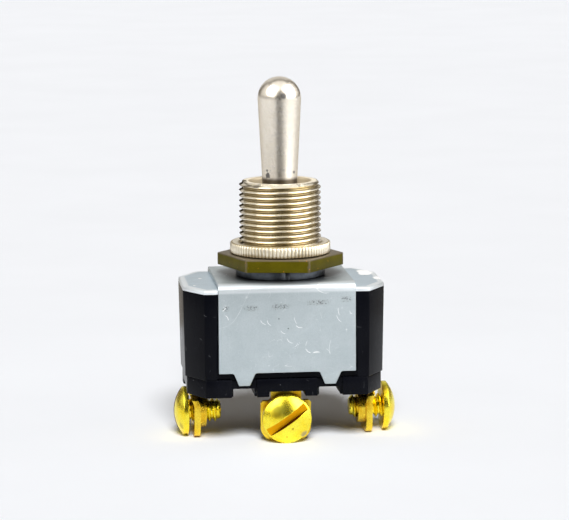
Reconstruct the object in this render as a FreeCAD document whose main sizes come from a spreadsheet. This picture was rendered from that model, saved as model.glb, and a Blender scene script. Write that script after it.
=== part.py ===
import FreeCAD, Part
import math
import os
import re
import Sketcher

# Toggle switch for panel mounting: bat lever, threaded bushing, sheet frame,
# moulded case and three screw terminals.
# Frame: millimetres, +Z up, x = y = 0 on the bushing axis, z = 0 on the plane
# that the three terminals stand on. The lever throws to -X and +X.

DIMENSIONS = [
    # Sheet frame
    ("frame_top", 23.5, "height of the frame's top face above the standing plane"),
    ("sheet", 0.75, "thickness of the frame's sheet"),
    ("ear_long", 4.735, "how far the case's ends reach past the frame"),
    ("frame_half_y", 9.07, "half depth over the frame's legs"),
    ("frame_low", 10.63, "lower edge of the legs"),
    ("frame_bend", 1.0, "outer bend radius"),
    ("tab_set_in", 3.665, "tab centre from the frame's side edge"),
    ("tab_root", 1.55, "half width of a tab at its root"),
    ("tab_end", 0.78, "half width of a tab at its end"),
    ("tab_low", 8.75, "lower end of the tabs"),
    ("tab_lean", 0.3, "how far the tabs are pressed inwards"),
    ("tab_fillet", 0.45, "root radius of the tabs"),
    # Cover plate
    ("cover_thick", 0.6, "thickness of the cover plate"),
    ("cover_edge", 0.4, "rounding of the cover's upper edge"),
    ("seat_gap", 0.05, "gap between parts that are clamped side by side"),
    # Moulded case and terminal base
    ("case_half_x", 14.6, "half length of the case"),
    ("frame_proud", 0.27, "how far the frame's legs stand proud of the case"),
    ("corner_deep", 4.3, "depth of the corner chamfers across the case"),
    ("corner_long", 2.7, "length of the corner chamfers along the case"),
    ("case_draft", 1.0, "draft of the case's outer walls, degrees"),
    ("parting", 9.6, "height of the joint between case and terminal base"),
    ("end_wall", 3.0, "thickness of the case's end walls"),
    ("side_wall", 2.5, "thickness of the case's side walls"),
    ("cavity_top", 20.6, "ceiling of the chamber"),
    ("lever_slot_x", 4.7, "half length of the lever's slot in the case"),
    ("lever_slot_y", 2.5, "half width of the lever's slot in the case"),
    ("base_low", 7.0, "underside of the terminal base"),
    ("base_inset", 0.45, "how far the terminal base stands inside the case's outline"),
    ("groove_half", 1.53, "half width of a groove"),
    ("groove_top", 8.15, "top of the grooves"),
    ("notch_half", 2.6, "half width of the notches around the terminal necks"),
    ("notch_top", 7.75, "top of the notches"),
    ("notch_deep", 1.0, "how far a notch reaches behind its terminal neck"),
    # Terminals
    ("strip", 0.9, "thickness of the terminal strip"),
    ("plate_half", 3.65, "half width of the terminal plates"),
    ("neck_half", 2.2, "half width of the terminal necks"),
    ("end_set_in", 2.0, "end plates' centre from the case's ends"),
    ("common_set_in", 3.1, "common plate's centre from the case's side"),
    ("neck_out", 0.6, "offset of the neck outside the plate"),
    ("crank_low", 4.9, "lower end of the crank in the strip"),
    ("crank_high", 6.4, "upper end of the crank in the strip"),
    ("shoulder", 6.0, "height of the plate's shoulders"),
    ("plate_corner", 2.1, "radius of the plate's lower corners"),
    ("screw_height", 3.58, "height of the screw axes"),
    ("collar_radius", 2.45, "radius of the drawn collar"),
    ("collar_long", 1.0, "length of the drawn collar"),
    ("end_shelf_long", 4.7, "reach of the end shelves from the plates' centre"),
    ("common_shelf", -2.6, "inner end of the common shelf, past the axis"),
    # Terminal screws
    ("screw_radius", 1.75, "outer radius of the screw thread"),
    ("screw_clear", 0.04, "radial running clearance of a screw"),
    ("screw_long", 4.76, "length under the head"),
    ("head_radius", 3.55, "radius of the screw head"),
    ("head_rim", 0.75, "height of the head's straight rim"),
    ("head_high", 2.05, "height of the head"),
    ("slot_wide", 1.15, "width of the screwdriver slot"),
    ("slot_deep", 1.1, "depth of the screwdriver slot"),
    # Bushing and its nuts
    ("bushing_top", 37.26, "top of the bushing"),
    ("thread_radius", 5.95, "outer radius of the bushing thread"),
    ("thread_low", 24.0, "lower end of the bushing thread"),
    ("rim_radius", 5.4, "outer radius of the flat rim"),
    ("mouth_radius", 4.45, "radius of the mouth"),
    ("mouth_above", 4.3, "lower end of the wider mouth above the pivot"),
    ("bore_radius", 3.68, "radius of the bore around the pivot boss"),
    ("flare_radius", 4.25, "radius of the bore's lower opening"),
    ("flare_high", 24.6, "where the bore begins to open downwards"),
    ("spigot_radius", 5.62, "radius of the bushing in the frame's hole"),
    ("flange_radius", 7.0, "radius of the flange under the frame"),
    ("keyway_floor", 5.06, "distance of the keyway's floor from the axis"),
    ("keyway_half", 0.9, "half width of the keyway"),
    ("nut_clear", 0.05, "radial running clearance of the nuts and the washer"),
    ("washer_radius", 6.5, "outer radius of the washer"),
    ("hex_low", 24.89, "lower face of the hexagon nut"),
    ("hex_high", 26.69, "upper face of the hexagon nut"),
    ("hex_flats", 15.9, "width of the hexagon nut across its flats"),
    ("hex_turn", -9.0, "turn of the hexagon nut about the axis, degrees"),
    ("ring_low", 26.83, "lower face of the knurled nut"),
    ("ring_high", 28.36, "upper face of the knurled nut"),
    ("ring_radius", 7.3, "outer radius of the knurled nut"),
    ("knurl_deep", 0.16, "depth of the knurls"),
    ("knurl_count", 100, "number of knurls"),
    ("edge_break", 0.2, "small chamfer of the turned parts"),
    # Lever, pivot and plunger
    ("pivot_height", 29.7, "height of the lever's pivot"),
    ("pin_radius", 0.9, "radius of the pivot pin"),
    ("pin_clear", 0.03, "radial running clearance on the pivot pin"),
    ("pin_half", 4.75, "half length of the pivot pin"),
    ("boss_radius", 3.1, "radius of the lever's turned pivot boss"),
    ("boss_half", 1.8, "half height of the pivot boss"),
    ("neck_radius", 2.25, "radius of the lever above the boss"),
    ("bat_radius", 3.14, "largest radius of the lever"),
    ("tip_height", 52.34, "top of the lever"),
    ("arm_radius", 1.95, "radius of the inner arm"),
    ("arm_low", 18.5, "lower end of the inner arm"),
    ("bore_below", 3.4, "top of the plunger's bore below the pivot"),
    ("plunger_radius", 1.2, "radius of the plunger"),
    ("plunger_clear", 0.05, "radial running clearance of the plunger"),
    ("spring_room", 3.7, "length of the bore above the plunger"),
    ("tip_centre", 14.7, "centre of the plunger's round tip"),
    ("tip_angle", 40.0, "half angle of the plunger's round tip, degrees"),
    ("spring_radius", 0.85, "mean radius of the plunger spring"),
    ("spring_wire", 0.16, "radius of the spring wire"),
    # Contact rocker
    ("rocker_pivot", 11.3, "height of the rocker's pivot"),
    ("throw", 13.0, "lever's throw each way, degrees"),
    ("rocker_throw", 6.0, "rocker's throw each way, degrees"),
    ("tip_clear", 0.08, "clearance between plunger tip and rocker"),
    ("rocker_low", 11.75, "underside of the rocker's arms"),
    ("rocker_thick", 0.8, "thickness of the rocker's arms"),
    ("rocker_past", 1.2, "rocker's end past the contact's centre"),
    ("rocker_half_y", 2.2, "half width of the rocker"),
    ("saddle_half", 4.0, "half width of the saddle in the rocker"),
    ("edge_radius", 0.5, "radius of the post's rounded edge"),
    ("edge_clear", 0.05, "radial running clearance on the post"),
    ("foot_high", 0.5, "height of the post's foot"),
    ("foot_wide", 0.7, "how far the foot stands out of the post"),
    ("post_short", 0.2, "how much shorter the post is than the rocker at each side"),
    ("contact_set_in", 3.3, "contacts from the centre of the end plates"),
    ("moving_radius", 1.3, "radius of the moving contacts"),
    ("moving_low", 11.15, "lowest point of the moving contacts"),
    ("moving_crown", 0.3, "height of the moving contacts' crown"),
    ("fixed_radius", 1.6, "radius of the fixed contacts"),
    ("fixed_high", 10.12, "top of the fixed contacts"),
]

# Sizes that follow from others, each after those that it uses
FORMULAS = [
    ("frame_half_x", "case_half_x - ear_long"),
    ("tab_x", "frame_half_x - tab_set_in"),
    ("groove_x", "tab_x"),
    ("case_half_y", "frame_half_y - frame_proud"),
    ("case_end_y", "case_half_y - corner_deep"),
    ("common_plate", "case_half_y - common_set_in"),
    ("case_corner_x", "case_half_x - corner_long"),
    ("cavity_half_x", "case_half_x - end_wall"),
    ("cavity_half_y", "case_half_y - side_wall"),
    ("end_plate", "case_half_x - end_set_in"),
    ("end_shelf", "end_plate - end_shelf_long"),
    ("contact_x", "end_plate - contact_set_in"),
    ("rocker_half_x", "contact_x + rocker_past"),
    ("dome_low", "tip_height - bat_radius"),
    ("arm_bore_top", "pivot_height - bore_below"),
    ("plunger_top", "arm_bore_top - spring_room"),
    ("mouth_low", "pivot_height + mouth_above"),
]

doc = FreeCAD.newDocument("toggle_switch")
sheet = doc.addObject("Spreadsheet::Sheet", "Dims")
for row, (alias, value, note) in enumerate(DIMENSIONS, start=1):
    sheet.set("A%d" % row, note)
    sheet.set("B%d" % row, str(value))
    sheet.setAlias("B%d" % row, alias)
doc.recompute()


def spelled(text):
    """Formula with each size that follows from others written out."""
    for name, formula in reversed(FORMULAS):
        text = re.sub(r"\b%s\b" % name, "(%s)" % formula, text)
    return text


def value(text):
    """Number that a formula over the named sizes gives."""
    if isinstance(text, (int, float)):
        return float(text)
    return float(sheet.evalExpression(spelled(text)))


def bound(text):
    """The same formula as an object outside the sheet has to write it."""
    return re.sub(r"[a-z][a-z_]+", lambda word: "Dims." + word.group(0), spelled(text))


def new_body(label):
    """Empty body whose label names its file."""
    body = doc.addObject("PartDesign::Body", label)
    body.Label = label
    body.Placement = FreeCAD.Placement()
    doc.recompute()
    return body


def new_sketch(body, role, name, offset=None):
    """Sketch on one of the body's own planes, lifted by offset along its normal."""
    plane = [item for item in body.Origin.OriginFeatures if item.Role == role][0]
    sketch = body.newObject("Sketcher::SketchObject", name)
    sketch.AttachmentSupport = [(plane, "")]
    sketch.MapMode = "FlatFace"
    if offset is not None:
        sketch.setExpression("AttachmentOffset.Base.z", bound(offset))
    return sketch


def fix_point(sketch, element, end, point):
    """Dimension one point of a sketch from the sketch's origin."""
    for kind, size in (("DistanceX", point[0]), ("DistanceY", point[1])):
        number = sketch.addConstraint(Sketcher.Constraint(kind, -1, 1, element, end, value(size)))
        if isinstance(size, str):
            sketch.setExpression("Constraints[%d]" % number, bound(size))


def draw_loop(sketch, points):
    """Closed loop. A point of four values ends an arc through its last two."""
    places = [FreeCAD.Vector(value(point[0]), value(point[1]), 0) for point in points]
    elements = []
    for index, point in enumerate(points):
        start = places[index - 1]
        end = places[index]
        if len(point) == 4:
            middle = FreeCAD.Vector(value(point[2]), value(point[3]), 0)
            anticlockwise = (middle - start).cross(end - middle).z > 0
            curve = Part.Arc(start, middle, end) if anticlockwise else Part.Arc(end, middle, start)
        else:
            curve = Part.LineSegment(start, end)
        element = sketch.addGeometry(curve, False)
        drawn = sketch.Geometry[element]
        forward = drawn.StartPoint.distanceToPoint(start) < 1e-6
        elements.append((element, 1, 2) if forward else (element, 2, 1))
        if len(point) == 4:
            mark = sketch.addGeometry(Part.Point(middle), True)
            fix_point(sketch, mark, 1, point[2:])
            sketch.addConstraint(Sketcher.Constraint("PointOnObject", mark, 1, element))
    for index, point in enumerate(points):
        element, first, last = elements[index]
        following = elements[(index + 1) % len(points)]
        sketch.addConstraint(Sketcher.Constraint("Coincident", element, last, following[0], following[1]))
        fix_point(sketch, element, last, point)


def draw_circle(sketch, centre, radius):
    """Circle with its centre and its radius dimensioned."""
    middle = FreeCAD.Vector(value(centre[0]), value(centre[1]), 0)
    normal = FreeCAD.Vector(0, 0, 1)
    element = sketch.addGeometry(Part.Circle(middle, normal, value(radius)), False)
    fix_point(sketch, element, 3, centre)
    number = sketch.addConstraint(Sketcher.Constraint("Radius", element, value(radius)))
    sketch.setExpression("Constraints[%d]" % number, bound(radius))


def extrude(body, kind, sketch, length, name, both=False, back=False, taper=None):
    """Pad or pocket a sketch, and make sure that it adds or removes material."""
    before = body.Shape.Volume if body.Tip else 0.0
    feature = body.newObject("PartDesign::" + kind, name)
    feature.Profile = sketch
    feature.SideType = "Symmetric" if both else "One side"
    feature.Reversed = back
    feature.setExpression("Length", bound(length))
    if taper is not None:
        feature.setExpression("TaperAngle", bound(taper))
    body.Tip = feature
    doc.recompute()
    change = feature.Shape.Volume - before
    if change * (1 if kind == "Pad" else -1) < 1e-4:
        raise ValueError("%s of %s changes nothing" % (name, body.Label))
    return feature


def turn(body, kind, sketch, name, axis="V_Axis"):
    """Revolve a sketch about one of its axes as a revolution or a groove."""
    before = body.Shape.Volume if body.Tip else 0.0
    feature = body.newObject("PartDesign::" + kind, name)
    feature.Profile = sketch
    feature.ReferenceAxis = (sketch, [axis])
    feature.Angle = 360
    body.Tip = feature
    doc.recompute()
    change = feature.Shape.Volume - before
    if change * (1 if kind == "Revolution" else -1) < 1e-4:
        raise ValueError("%s of %s changes nothing" % (name, body.Label))
    return feature


def dress(body, kind, name, size, chosen):
    """Fillet or chamfer the edges of the body that the test chooses."""
    feature = body.Tip
    names = ["Edge%d" % (index + 1) for index, edge in enumerate(feature.Shape.Edges) if chosen(edge)]
    if not names:
        raise ValueError("no edge for %s of %s" % (name, body.Label))
    dressed = body.newObject("PartDesign::" + kind, name)
    dressed.Base = (feature, names)
    dressed.setExpression("Radius" if kind == "Fillet" else "Size", bound(size))
    body.Tip = dressed
    doc.recompute()
    return dressed


def lies_along(edge, direction):
    """Whether a straight edge runs along a direction."""
    if edge.Curve.TypeId != "Part::GeomLine":
        return False
    return abs(abs(edge.Curve.Direction.dot(FreeCAD.Vector(*direction))) - 1) < 1e-6


def is_circle(edge, radius):
    """Whether an edge is a circle of a radius."""
    return edge.Curve.TypeId == "Part::GeomCircle" and abs(edge.Curve.Radius - radius) < 1e-3


def at_place(edge, **wanted):
    """Whether the middle of an edge has the wanted absolute coordinates."""
    middle = edge.CenterOfMass
    places = {"x": abs(middle.x), "y": abs(middle.y), "z": middle.z}
    return all(abs(places[axis] - place) < 1e-3 for axis, place in wanted.items())


def make_frame():
    """Sheet frame, bent over the case, with four dovetail tabs."""
    body = new_body("mounting_frame")
    section = new_sketch(body, "YZ_Plane", "section")
    right = [
        ("frame_half_y - tab_lean - sheet", "tab_low"),
        ("frame_half_y - tab_lean", "tab_low"),
        ("frame_half_y", "frame_low - tab_fillet * 1.3"),
        ("frame_half_y", "frame_top"),
    ]
    inner_right = [
        ("frame_half_y - sheet", "frame_top - sheet"),
        ("frame_half_y - sheet", "frame_low - tab_fillet * 1.3"),
    ]
    left = [("-(%s)" % y, z) for y, z in reversed(right)]
    inner_left = [("-(%s)" % y, z) for y, z in reversed(inner_right)]
    draw_loop(section, right + left + inner_left + inner_right)
    extrude(body, "Pad", section, "2 * frame_half_x", "sheet_strip", both=True)
    outline = new_sketch(body, "XZ_Plane", "tab_outline")
    between = [
        ("tab_x - tab_root", "frame_low"),
        ("tab_x - tab_end", "tab_low"),
        ("tab_x - tab_end", "tab_low - 1"),
        ("-tab_x + tab_end", "tab_low - 1"),
        ("-tab_x + tab_end", "tab_low"),
        ("-tab_x + tab_root", "frame_low"),
    ]
    beside = [
        ("frame_half_x + 1", "frame_low"),
        ("tab_x + tab_root", "frame_low"),
        ("tab_x + tab_end", "tab_low"),
        ("tab_x + tab_end", "tab_low - 1"),
        ("frame_half_x + 1", "tab_low - 1"),
    ]
    draw_loop(outline, between)
    draw_loop(outline, beside)
    draw_loop(outline, [("-(%s)" % x, z) for x, z in beside])
    extrude(body, "Pocket", outline, "3 * frame_half_y", "between_tabs", both=True)
    hole = new_sketch(body, "XY_Plane", "bushing_hole", "frame_top")
    draw_circle(hole, (0, 0), "spigot_radius")
    extrude(body, "Pocket", hole, "2 * sheet", "bushing_hole_cut")
    top = value("frame_top")
    outer = value("frame_half_y")
    dress(body, "Fillet", "bends", "frame_bend",
          lambda edge: lies_along(edge, (1, 0, 0)) and at_place(edge, y=outer, z=top))
    inner = outer - value("sheet")
    dress(body, "Fillet", "inner_bends", "frame_bend - sheet",
          lambda edge: lies_along(edge, (1, 0, 0)) and at_place(edge, y=inner, z=top - value("sheet")))
    low = value("frame_low")
    roots = (value("tab_x - tab_root"), value("tab_x + tab_root"))
    dress(body, "Fillet", "tab_roots", "tab_fillet",
          lambda edge: lies_along(edge, (0, 1, 0)) and any(at_place(edge, x=x, z=low) for x in roots))
    return body


def case_outline(grow, end_y, corner_x, half_y, recess=None):
    """Eight-sided plan of the moulded parts, with a recess for the frame."""
    end = "case_half_x" + grow
    quarter = [(end, end_y), (corner_x, half_y)]
    if recess:
        quarter += [(recess[0], half_y), recess]
    upper = quarter + [("-(%s)" % x, y) for x, y in reversed(quarter)]
    return upper + [(x, "-(%s)" % y) for x, y in reversed(upper)]


def make_cover():
    """Plate between frame and case; its ends show beside the frame."""
    body = new_body("cover_plate")
    plan = new_sketch(body, "XY_Plane", "plan", "frame_top - sheet")
    recess = ("frame_half_x + seat_gap", "frame_half_y - sheet - seat_gap")
    draw_loop(plan, case_outline("", "case_end_y", "case_corner_x", "case_half_y", recess))
    draw_circle(plan, (0, 0), "flange_radius + seat_gap")
    extrude(body, "Pad", plan, "cover_thick", "plate", back=True)
    top = value("frame_top - sheet")
    corner = value("frame_half_x + seat_gap")
    dress(body, "Fillet", "rolled_edge", "cover_edge",
          lambda edge: at_place(edge, z=top) and not at_place(edge, x=corner)
          and edge.Curve.TypeId == "Part::GeomLine")
    return body


def make_case():
    """Moulded case, a cup that opens downwards, with draft on its walls."""
    body = new_body("case")
    top = "frame_top - sheet - cover_thick"
    plan = new_sketch(body, "XY_Plane", "plan", top)
    recess = ("frame_half_x + seat_gap", "frame_half_y - sheet - seat_gap")
    draw_loop(plan, case_outline("", "case_end_y", "case_corner_x", "case_half_y", recess))
    extrude(body, "Pad", plan, top + " - parting", "block", back=True, taper="-case_draft")
    chamber = new_sketch(body, "XY_Plane", "chamber", "parting")
    draw_loop(chamber, [
        ("cavity_half_x", "cavity_half_y"),
        ("-cavity_half_x", "cavity_half_y"),
        ("-cavity_half_x", "-cavity_half_y"),
        ("cavity_half_x", "-cavity_half_y"),
    ])
    extrude(body, "Pocket", chamber, "cavity_top - parting", "chamber_cut", back=True)
    slot = new_sketch(body, "XY_Plane", "lever_slot", top)
    draw_loop(slot, [
        ("lever_slot_x - lever_slot_y", "lever_slot_y"),
        ("-lever_slot_x + lever_slot_y", "lever_slot_y"),
        ("-lever_slot_x + lever_slot_y", "-lever_slot_y", "-lever_slot_x", "0 * lever_slot_x"),
        ("lever_slot_x - lever_slot_y", "-lever_slot_y"),
        ("lever_slot_x - lever_slot_y", "lever_slot_y", "lever_slot_x", "0 * lever_slot_x"),
    ][1:])
    extrude(body, "Pocket", slot, top + " - cavity_top + 1", "lever_slot_cut")
    half_x = value("cavity_half_x")
    half_y = value("cavity_half_y")
    dress(body, "Fillet", "chamber_corners", "cover_edge * 2",
          lambda edge: lies_along(edge, (0, 0, 1)) and at_place(edge, x=half_x, y=half_y))
    return body


def make_terminal_base():
    """Moulded base that carries the terminals, with grooves and notches below."""
    body = new_body("terminal_base")
    plan = new_sketch(body, "XY_Plane", "plan", "base_low")
    draw_loop(plan, case_outline(" - base_inset", "case_end_y", "case_corner_x - base_inset / 2",
                                 "case_half_y - base_inset / 2"))
    extrude(body, "Pad", plan, "parting - base_low", "block")

    grooves = new_sketch(body, "XZ_Plane", "grooves")
    groove = [
        ("groove_x - groove_half", "base_low - 1"),
        ("groove_x + groove_half", "base_low - 1"),
        ("groove_x + groove_half", "groove_top"),
        ("groove_x - groove_half", "groove_top"),
    ]
    draw_loop(grooves, groove)
    draw_loop(grooves, [("-(%s)" % x, z) for x, z in groove])
    extrude(body, "Pocket", grooves, "3 * case_half_y", "grooves_cut", both=True)

    reliefs = new_sketch(body, "XY_Plane", "tab_reliefs", "parting")
    for side in ("", "-"):
        for face in ("", "-"):
            draw_loop(reliefs, [
                (side + "(tab_x - tab_root - 0.25)", face + "(frame_half_y - tab_lean - sheet - 0.2)"),
                (side + "(tab_x + tab_root + 0.25)", face + "(frame_half_y - tab_lean - sheet - 0.2)"),
                (side + "(tab_x + tab_root + 0.25)", face + "(case_half_y + 1)"),
                (side + "(tab_x - tab_root - 0.25)", face + "(case_half_y + 1)"),
            ])
    extrude(body, "Pocket", reliefs, "parting - base_low + 1", "tab_reliefs_cut")

    notches = new_sketch(body, "XY_Plane", "notches", "base_low")
    for side in ("", "-"):
        draw_loop(notches, [
            (side + "(end_plate + neck_out - strip / 2 - notch_deep)", "-notch_half"),
            (side + "(case_half_x + 1)", "-notch_half"),
            (side + "(case_half_x + 1)", "notch_half"),
            (side + "(end_plate + neck_out - strip / 2 - notch_deep)", "notch_half"),
        ])
    draw_loop(notches, [
        ("-notch_half", "-(common_plate + neck_out - strip / 2 - notch_deep)"),
        ("-notch_half", "-(case_half_y + 1)"),
        ("notch_half", "-(case_half_y + 1)"),
        ("notch_half", "-(common_plate + neck_out - strip / 2 - notch_deep)"),
    ])
    extrude(body, "Pocket", notches, "notch_top - base_low", "notches_cut", back=True)

    shelves = new_sketch(body, "XY_Plane", "shelf_beds", "parting")
    for side in ("", "-"):
        draw_loop(shelves, [
            (side + "(end_shelf - seat_gap)", "-(neck_half + seat_gap)"),
            (side + "(end_plate + neck_out + strip / 2 + seat_gap)", "-(neck_half + seat_gap)"),
            (side + "(end_plate + neck_out + strip / 2 + seat_gap)", "neck_half + seat_gap"),
            (side + "(end_shelf - seat_gap)", "neck_half + seat_gap"),
        ])
    draw_loop(shelves, [
        ("-(neck_half + seat_gap)", "-(common_plate + neck_out + strip / 2 + seat_gap)"),
        ("neck_half + seat_gap", "-(common_plate + neck_out + strip / 2 + seat_gap)"),
        ("neck_half + seat_gap", "-(common_shelf - seat_gap)"),
        ("-(neck_half + seat_gap)", "-(common_shelf - seat_gap)"),
    ])
    extrude(body, "Pocket", shelves, "strip", "shelf_beds_cut")

    passages = new_sketch(body, "XY_Plane", "neck_passages", "parting")
    for side in ("", "-"):
        draw_loop(passages, [
            (side + "(end_plate + neck_out - strip / 2 - seat_gap)", "-(neck_half + seat_gap)"),
            (side + "(end_plate + neck_out + strip / 2 + seat_gap)", "-(neck_half + seat_gap)"),
            (side + "(end_plate + neck_out + strip / 2 + seat_gap)", "neck_half + seat_gap"),
            (side + "(end_plate + neck_out - strip / 2 - seat_gap)", "neck_half + seat_gap"),
        ])
    draw_loop(passages, [
        ("-(neck_half + seat_gap)", "-(common_plate + neck_out + strip / 2 + seat_gap)"),
        ("neck_half + seat_gap", "-(common_plate + neck_out + strip / 2 + seat_gap)"),
        ("neck_half + seat_gap", "-(common_plate + neck_out - strip / 2 - seat_gap)"),
        ("-(neck_half + seat_gap)", "-(common_plate + neck_out - strip / 2 - seat_gap)"),
    ])
    extrude(body, "Pocket", passages, "parting - base_low", "neck_passages_cut")
    return body


def make_terminal(label, plate, shelf_end, angle):
    """Cranked brass strip: plate with a drawn collar, neck, and inner shelf.

    It is drawn facing -Y and turned about the bushing axis by angle.
    """
    body = new_body(label)
    side = new_sketch(body, "YZ_Plane", "side")
    outer = "-(%s + strip / 2)" % plate
    inner = "-(%s - strip / 2)" % plate
    draw_loop(side, [
        (inner, "0 * strip"),
        (inner, "crank_low"),
        (inner + " - neck_out", "crank_high"),
        (inner + " - neck_out", "parting - strip"),
        ("-(%s)" % shelf_end, "parting - strip"),
        ("-(%s)" % shelf_end, "parting"),
        (outer + " - neck_out", "parting"),
        (outer + " - neck_out", "crank_high"),
        (outer, "crank_low"),
        (outer, "0 * strip"),
    ])
    extrude(body, "Pad", side, "2 * plate_half", "strip_pad", both=True)
    front = new_sketch(body, "XZ_Plane", "front")
    for sign in ("", "-"):
        draw_loop(front, [
            (sign + "neck_half", "shoulder"),
            (sign + "(plate_half + 1)", "shoulder"),
            (sign + "(plate_half + 1)", "parting + 1"),
            (sign + "neck_half", "parting + 1"),
        ])
    extrude(body, "Pocket", front, "3 * case_half_x", "neck_outline", both=True)
    half = value("plate_half")
    dress(body, "Fillet", "plate_corners", "plate_corner",
          lambda edge: lies_along(edge, (0, 1, 0)) and at_place(edge, x=half, z=0.0))
    neck = value("neck_half")
    shoulder = value("shoulder")
    dress(body, "Chamfer", "shoulder_corners", "strip * 0.35",
          lambda edge: at_place(edge, x=half, z=shoulder) or at_place(edge, x=neck, z=shoulder))
    bend = value("%s + neck_out + strip / 2" % plate)
    dress(body, "Fillet", "shelf_bend", "strip * 0.9",
          lambda edge: lies_along(edge, (1, 0, 0)) and at_place(edge, y=bend, z=value("parting")))
    collar = new_sketch(body, "XZ_Plane", "collar", plate)
    draw_circle(collar, (0, "screw_height"), "collar_radius")
    extrude(body, "Pad", collar, "collar_long + strip / 2", "collar_pad", back=True)
    bore = new_sketch(body, "XZ_Plane", "bore", "%s + strip / 2 + neck_out" % plate)
    draw_circle(bore, (0, "screw_height"), "screw_radius + screw_clear")
    extrude(body, "Pocket", bore, "neck_out + strip + collar_long + 0.5", "bore_cut")
    body.Placement = FreeCAD.Placement(FreeCAD.Vector(), FreeCAD.Rotation(FreeCAD.Vector(0, 0, 1), angle))
    return body


def make_screw(label, plate, backed_out, slot_angle, angle):
    """Slotted binding-head screw, drawn along -Y in front of its plate."""
    body = new_body(label)
    seat = "%s + strip / 2 + %s" % (plate, backed_out)
    half = new_sketch(body, "XY_Plane", "half_section")
    draw_loop(half, [
        ("0 * strip", "-(%s - screw_long)" % seat),
        ("screw_radius", "-(%s - screw_long)" % seat),
        ("screw_radius", "-(%s)" % seat),
        ("head_radius", "-(%s)" % seat),
        ("head_radius", "-(%s + head_rim)" % seat),
        ("head_radius * 0.55", "-(%s + head_high)" % seat),
        ("0 * strip", "-(%s + head_high)" % seat),
    ])
    turn(body, "Revolution", half, "turned")
    slot = new_sketch(body, "XZ_Plane", "slot", "%s + head_high" % seat)
    draw_loop(slot, [
        ("-head_radius - 1", "-slot_wide / 2"),
        ("head_radius + 1", "-slot_wide / 2"),
        ("head_radius + 1", "slot_wide / 2"),
        ("-head_radius - 1", "slot_wide / 2"),
    ])
    slot.AttachmentOffset = FreeCAD.Placement(
        FreeCAD.Vector(0, 0, value("%s + head_high" % seat)),
        FreeCAD.Rotation(FreeCAD.Vector(0, 0, 1), slot_angle))
    extrude(body, "Pocket", slot, "slot_deep", "slot_cut")
    height = FreeCAD.Vector(0, 0, value("screw_height"))
    body.Placement = FreeCAD.Placement(height, FreeCAD.Rotation(FreeCAD.Vector(0, 0, 1), angle))
    return body


def make_bushing():
    """Threaded bushing with its flange, keyway, opened bore and pin grooves."""
    body = new_body("threaded_bushing")
    half = new_sketch(body, "XZ_Plane", "half_section")
    low = "frame_top - sheet - cover_thick"
    draw_loop(half, [
        ("flare_radius", low),
        ("flange_radius", low),
        ("flange_radius", "frame_top - sheet"),
        ("spigot_radius", "frame_top - sheet"),
        ("spigot_radius", "thread_low - 0.25"),
        ("thread_radius", "thread_low"),
        ("thread_radius", "bushing_top - (thread_radius - rim_radius)"),
        ("rim_radius", "bushing_top"),
        ("mouth_radius", "bushing_top"),
        ("mouth_radius", "mouth_low"),
        ("bore_radius", "mouth_low"),
        ("bore_radius", "flare_high"),
    ])
    turn(body, "Revolution", half, "turned")
    keyway = new_sketch(body, "XY_Plane", "keyway", "thread_low - 0.25")
    draw_loop(keyway, [
        ("-keyway_floor", "-keyway_half"),
        ("-keyway_floor", "keyway_half"),
        ("-thread_radius - 1", "keyway_half"),
        ("-thread_radius - 1", "-keyway_half"),
    ])
    extrude(body, "Pocket", keyway, "bushing_top - thread_low + 1", "keyway_cut", back=True)
    groove = new_sketch(body, "XZ_Plane", "pin_grooves")
    wide = "(pin_radius + pin_clear)"
    draw_loop(groove, [
        (wide, "pivot_height"),
        ("-" + wide, "pivot_height", "0 * strip", "pivot_height + pin_radius + pin_clear"),
        ("-" + wide, low + " - 1"),
        (wide, low + " - 1"),
    ])
    extrude(body, "Pocket", groove, "2 * (pin_half + pin_clear)", "pin_grooves_cut", both=True)
    return body


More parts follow.
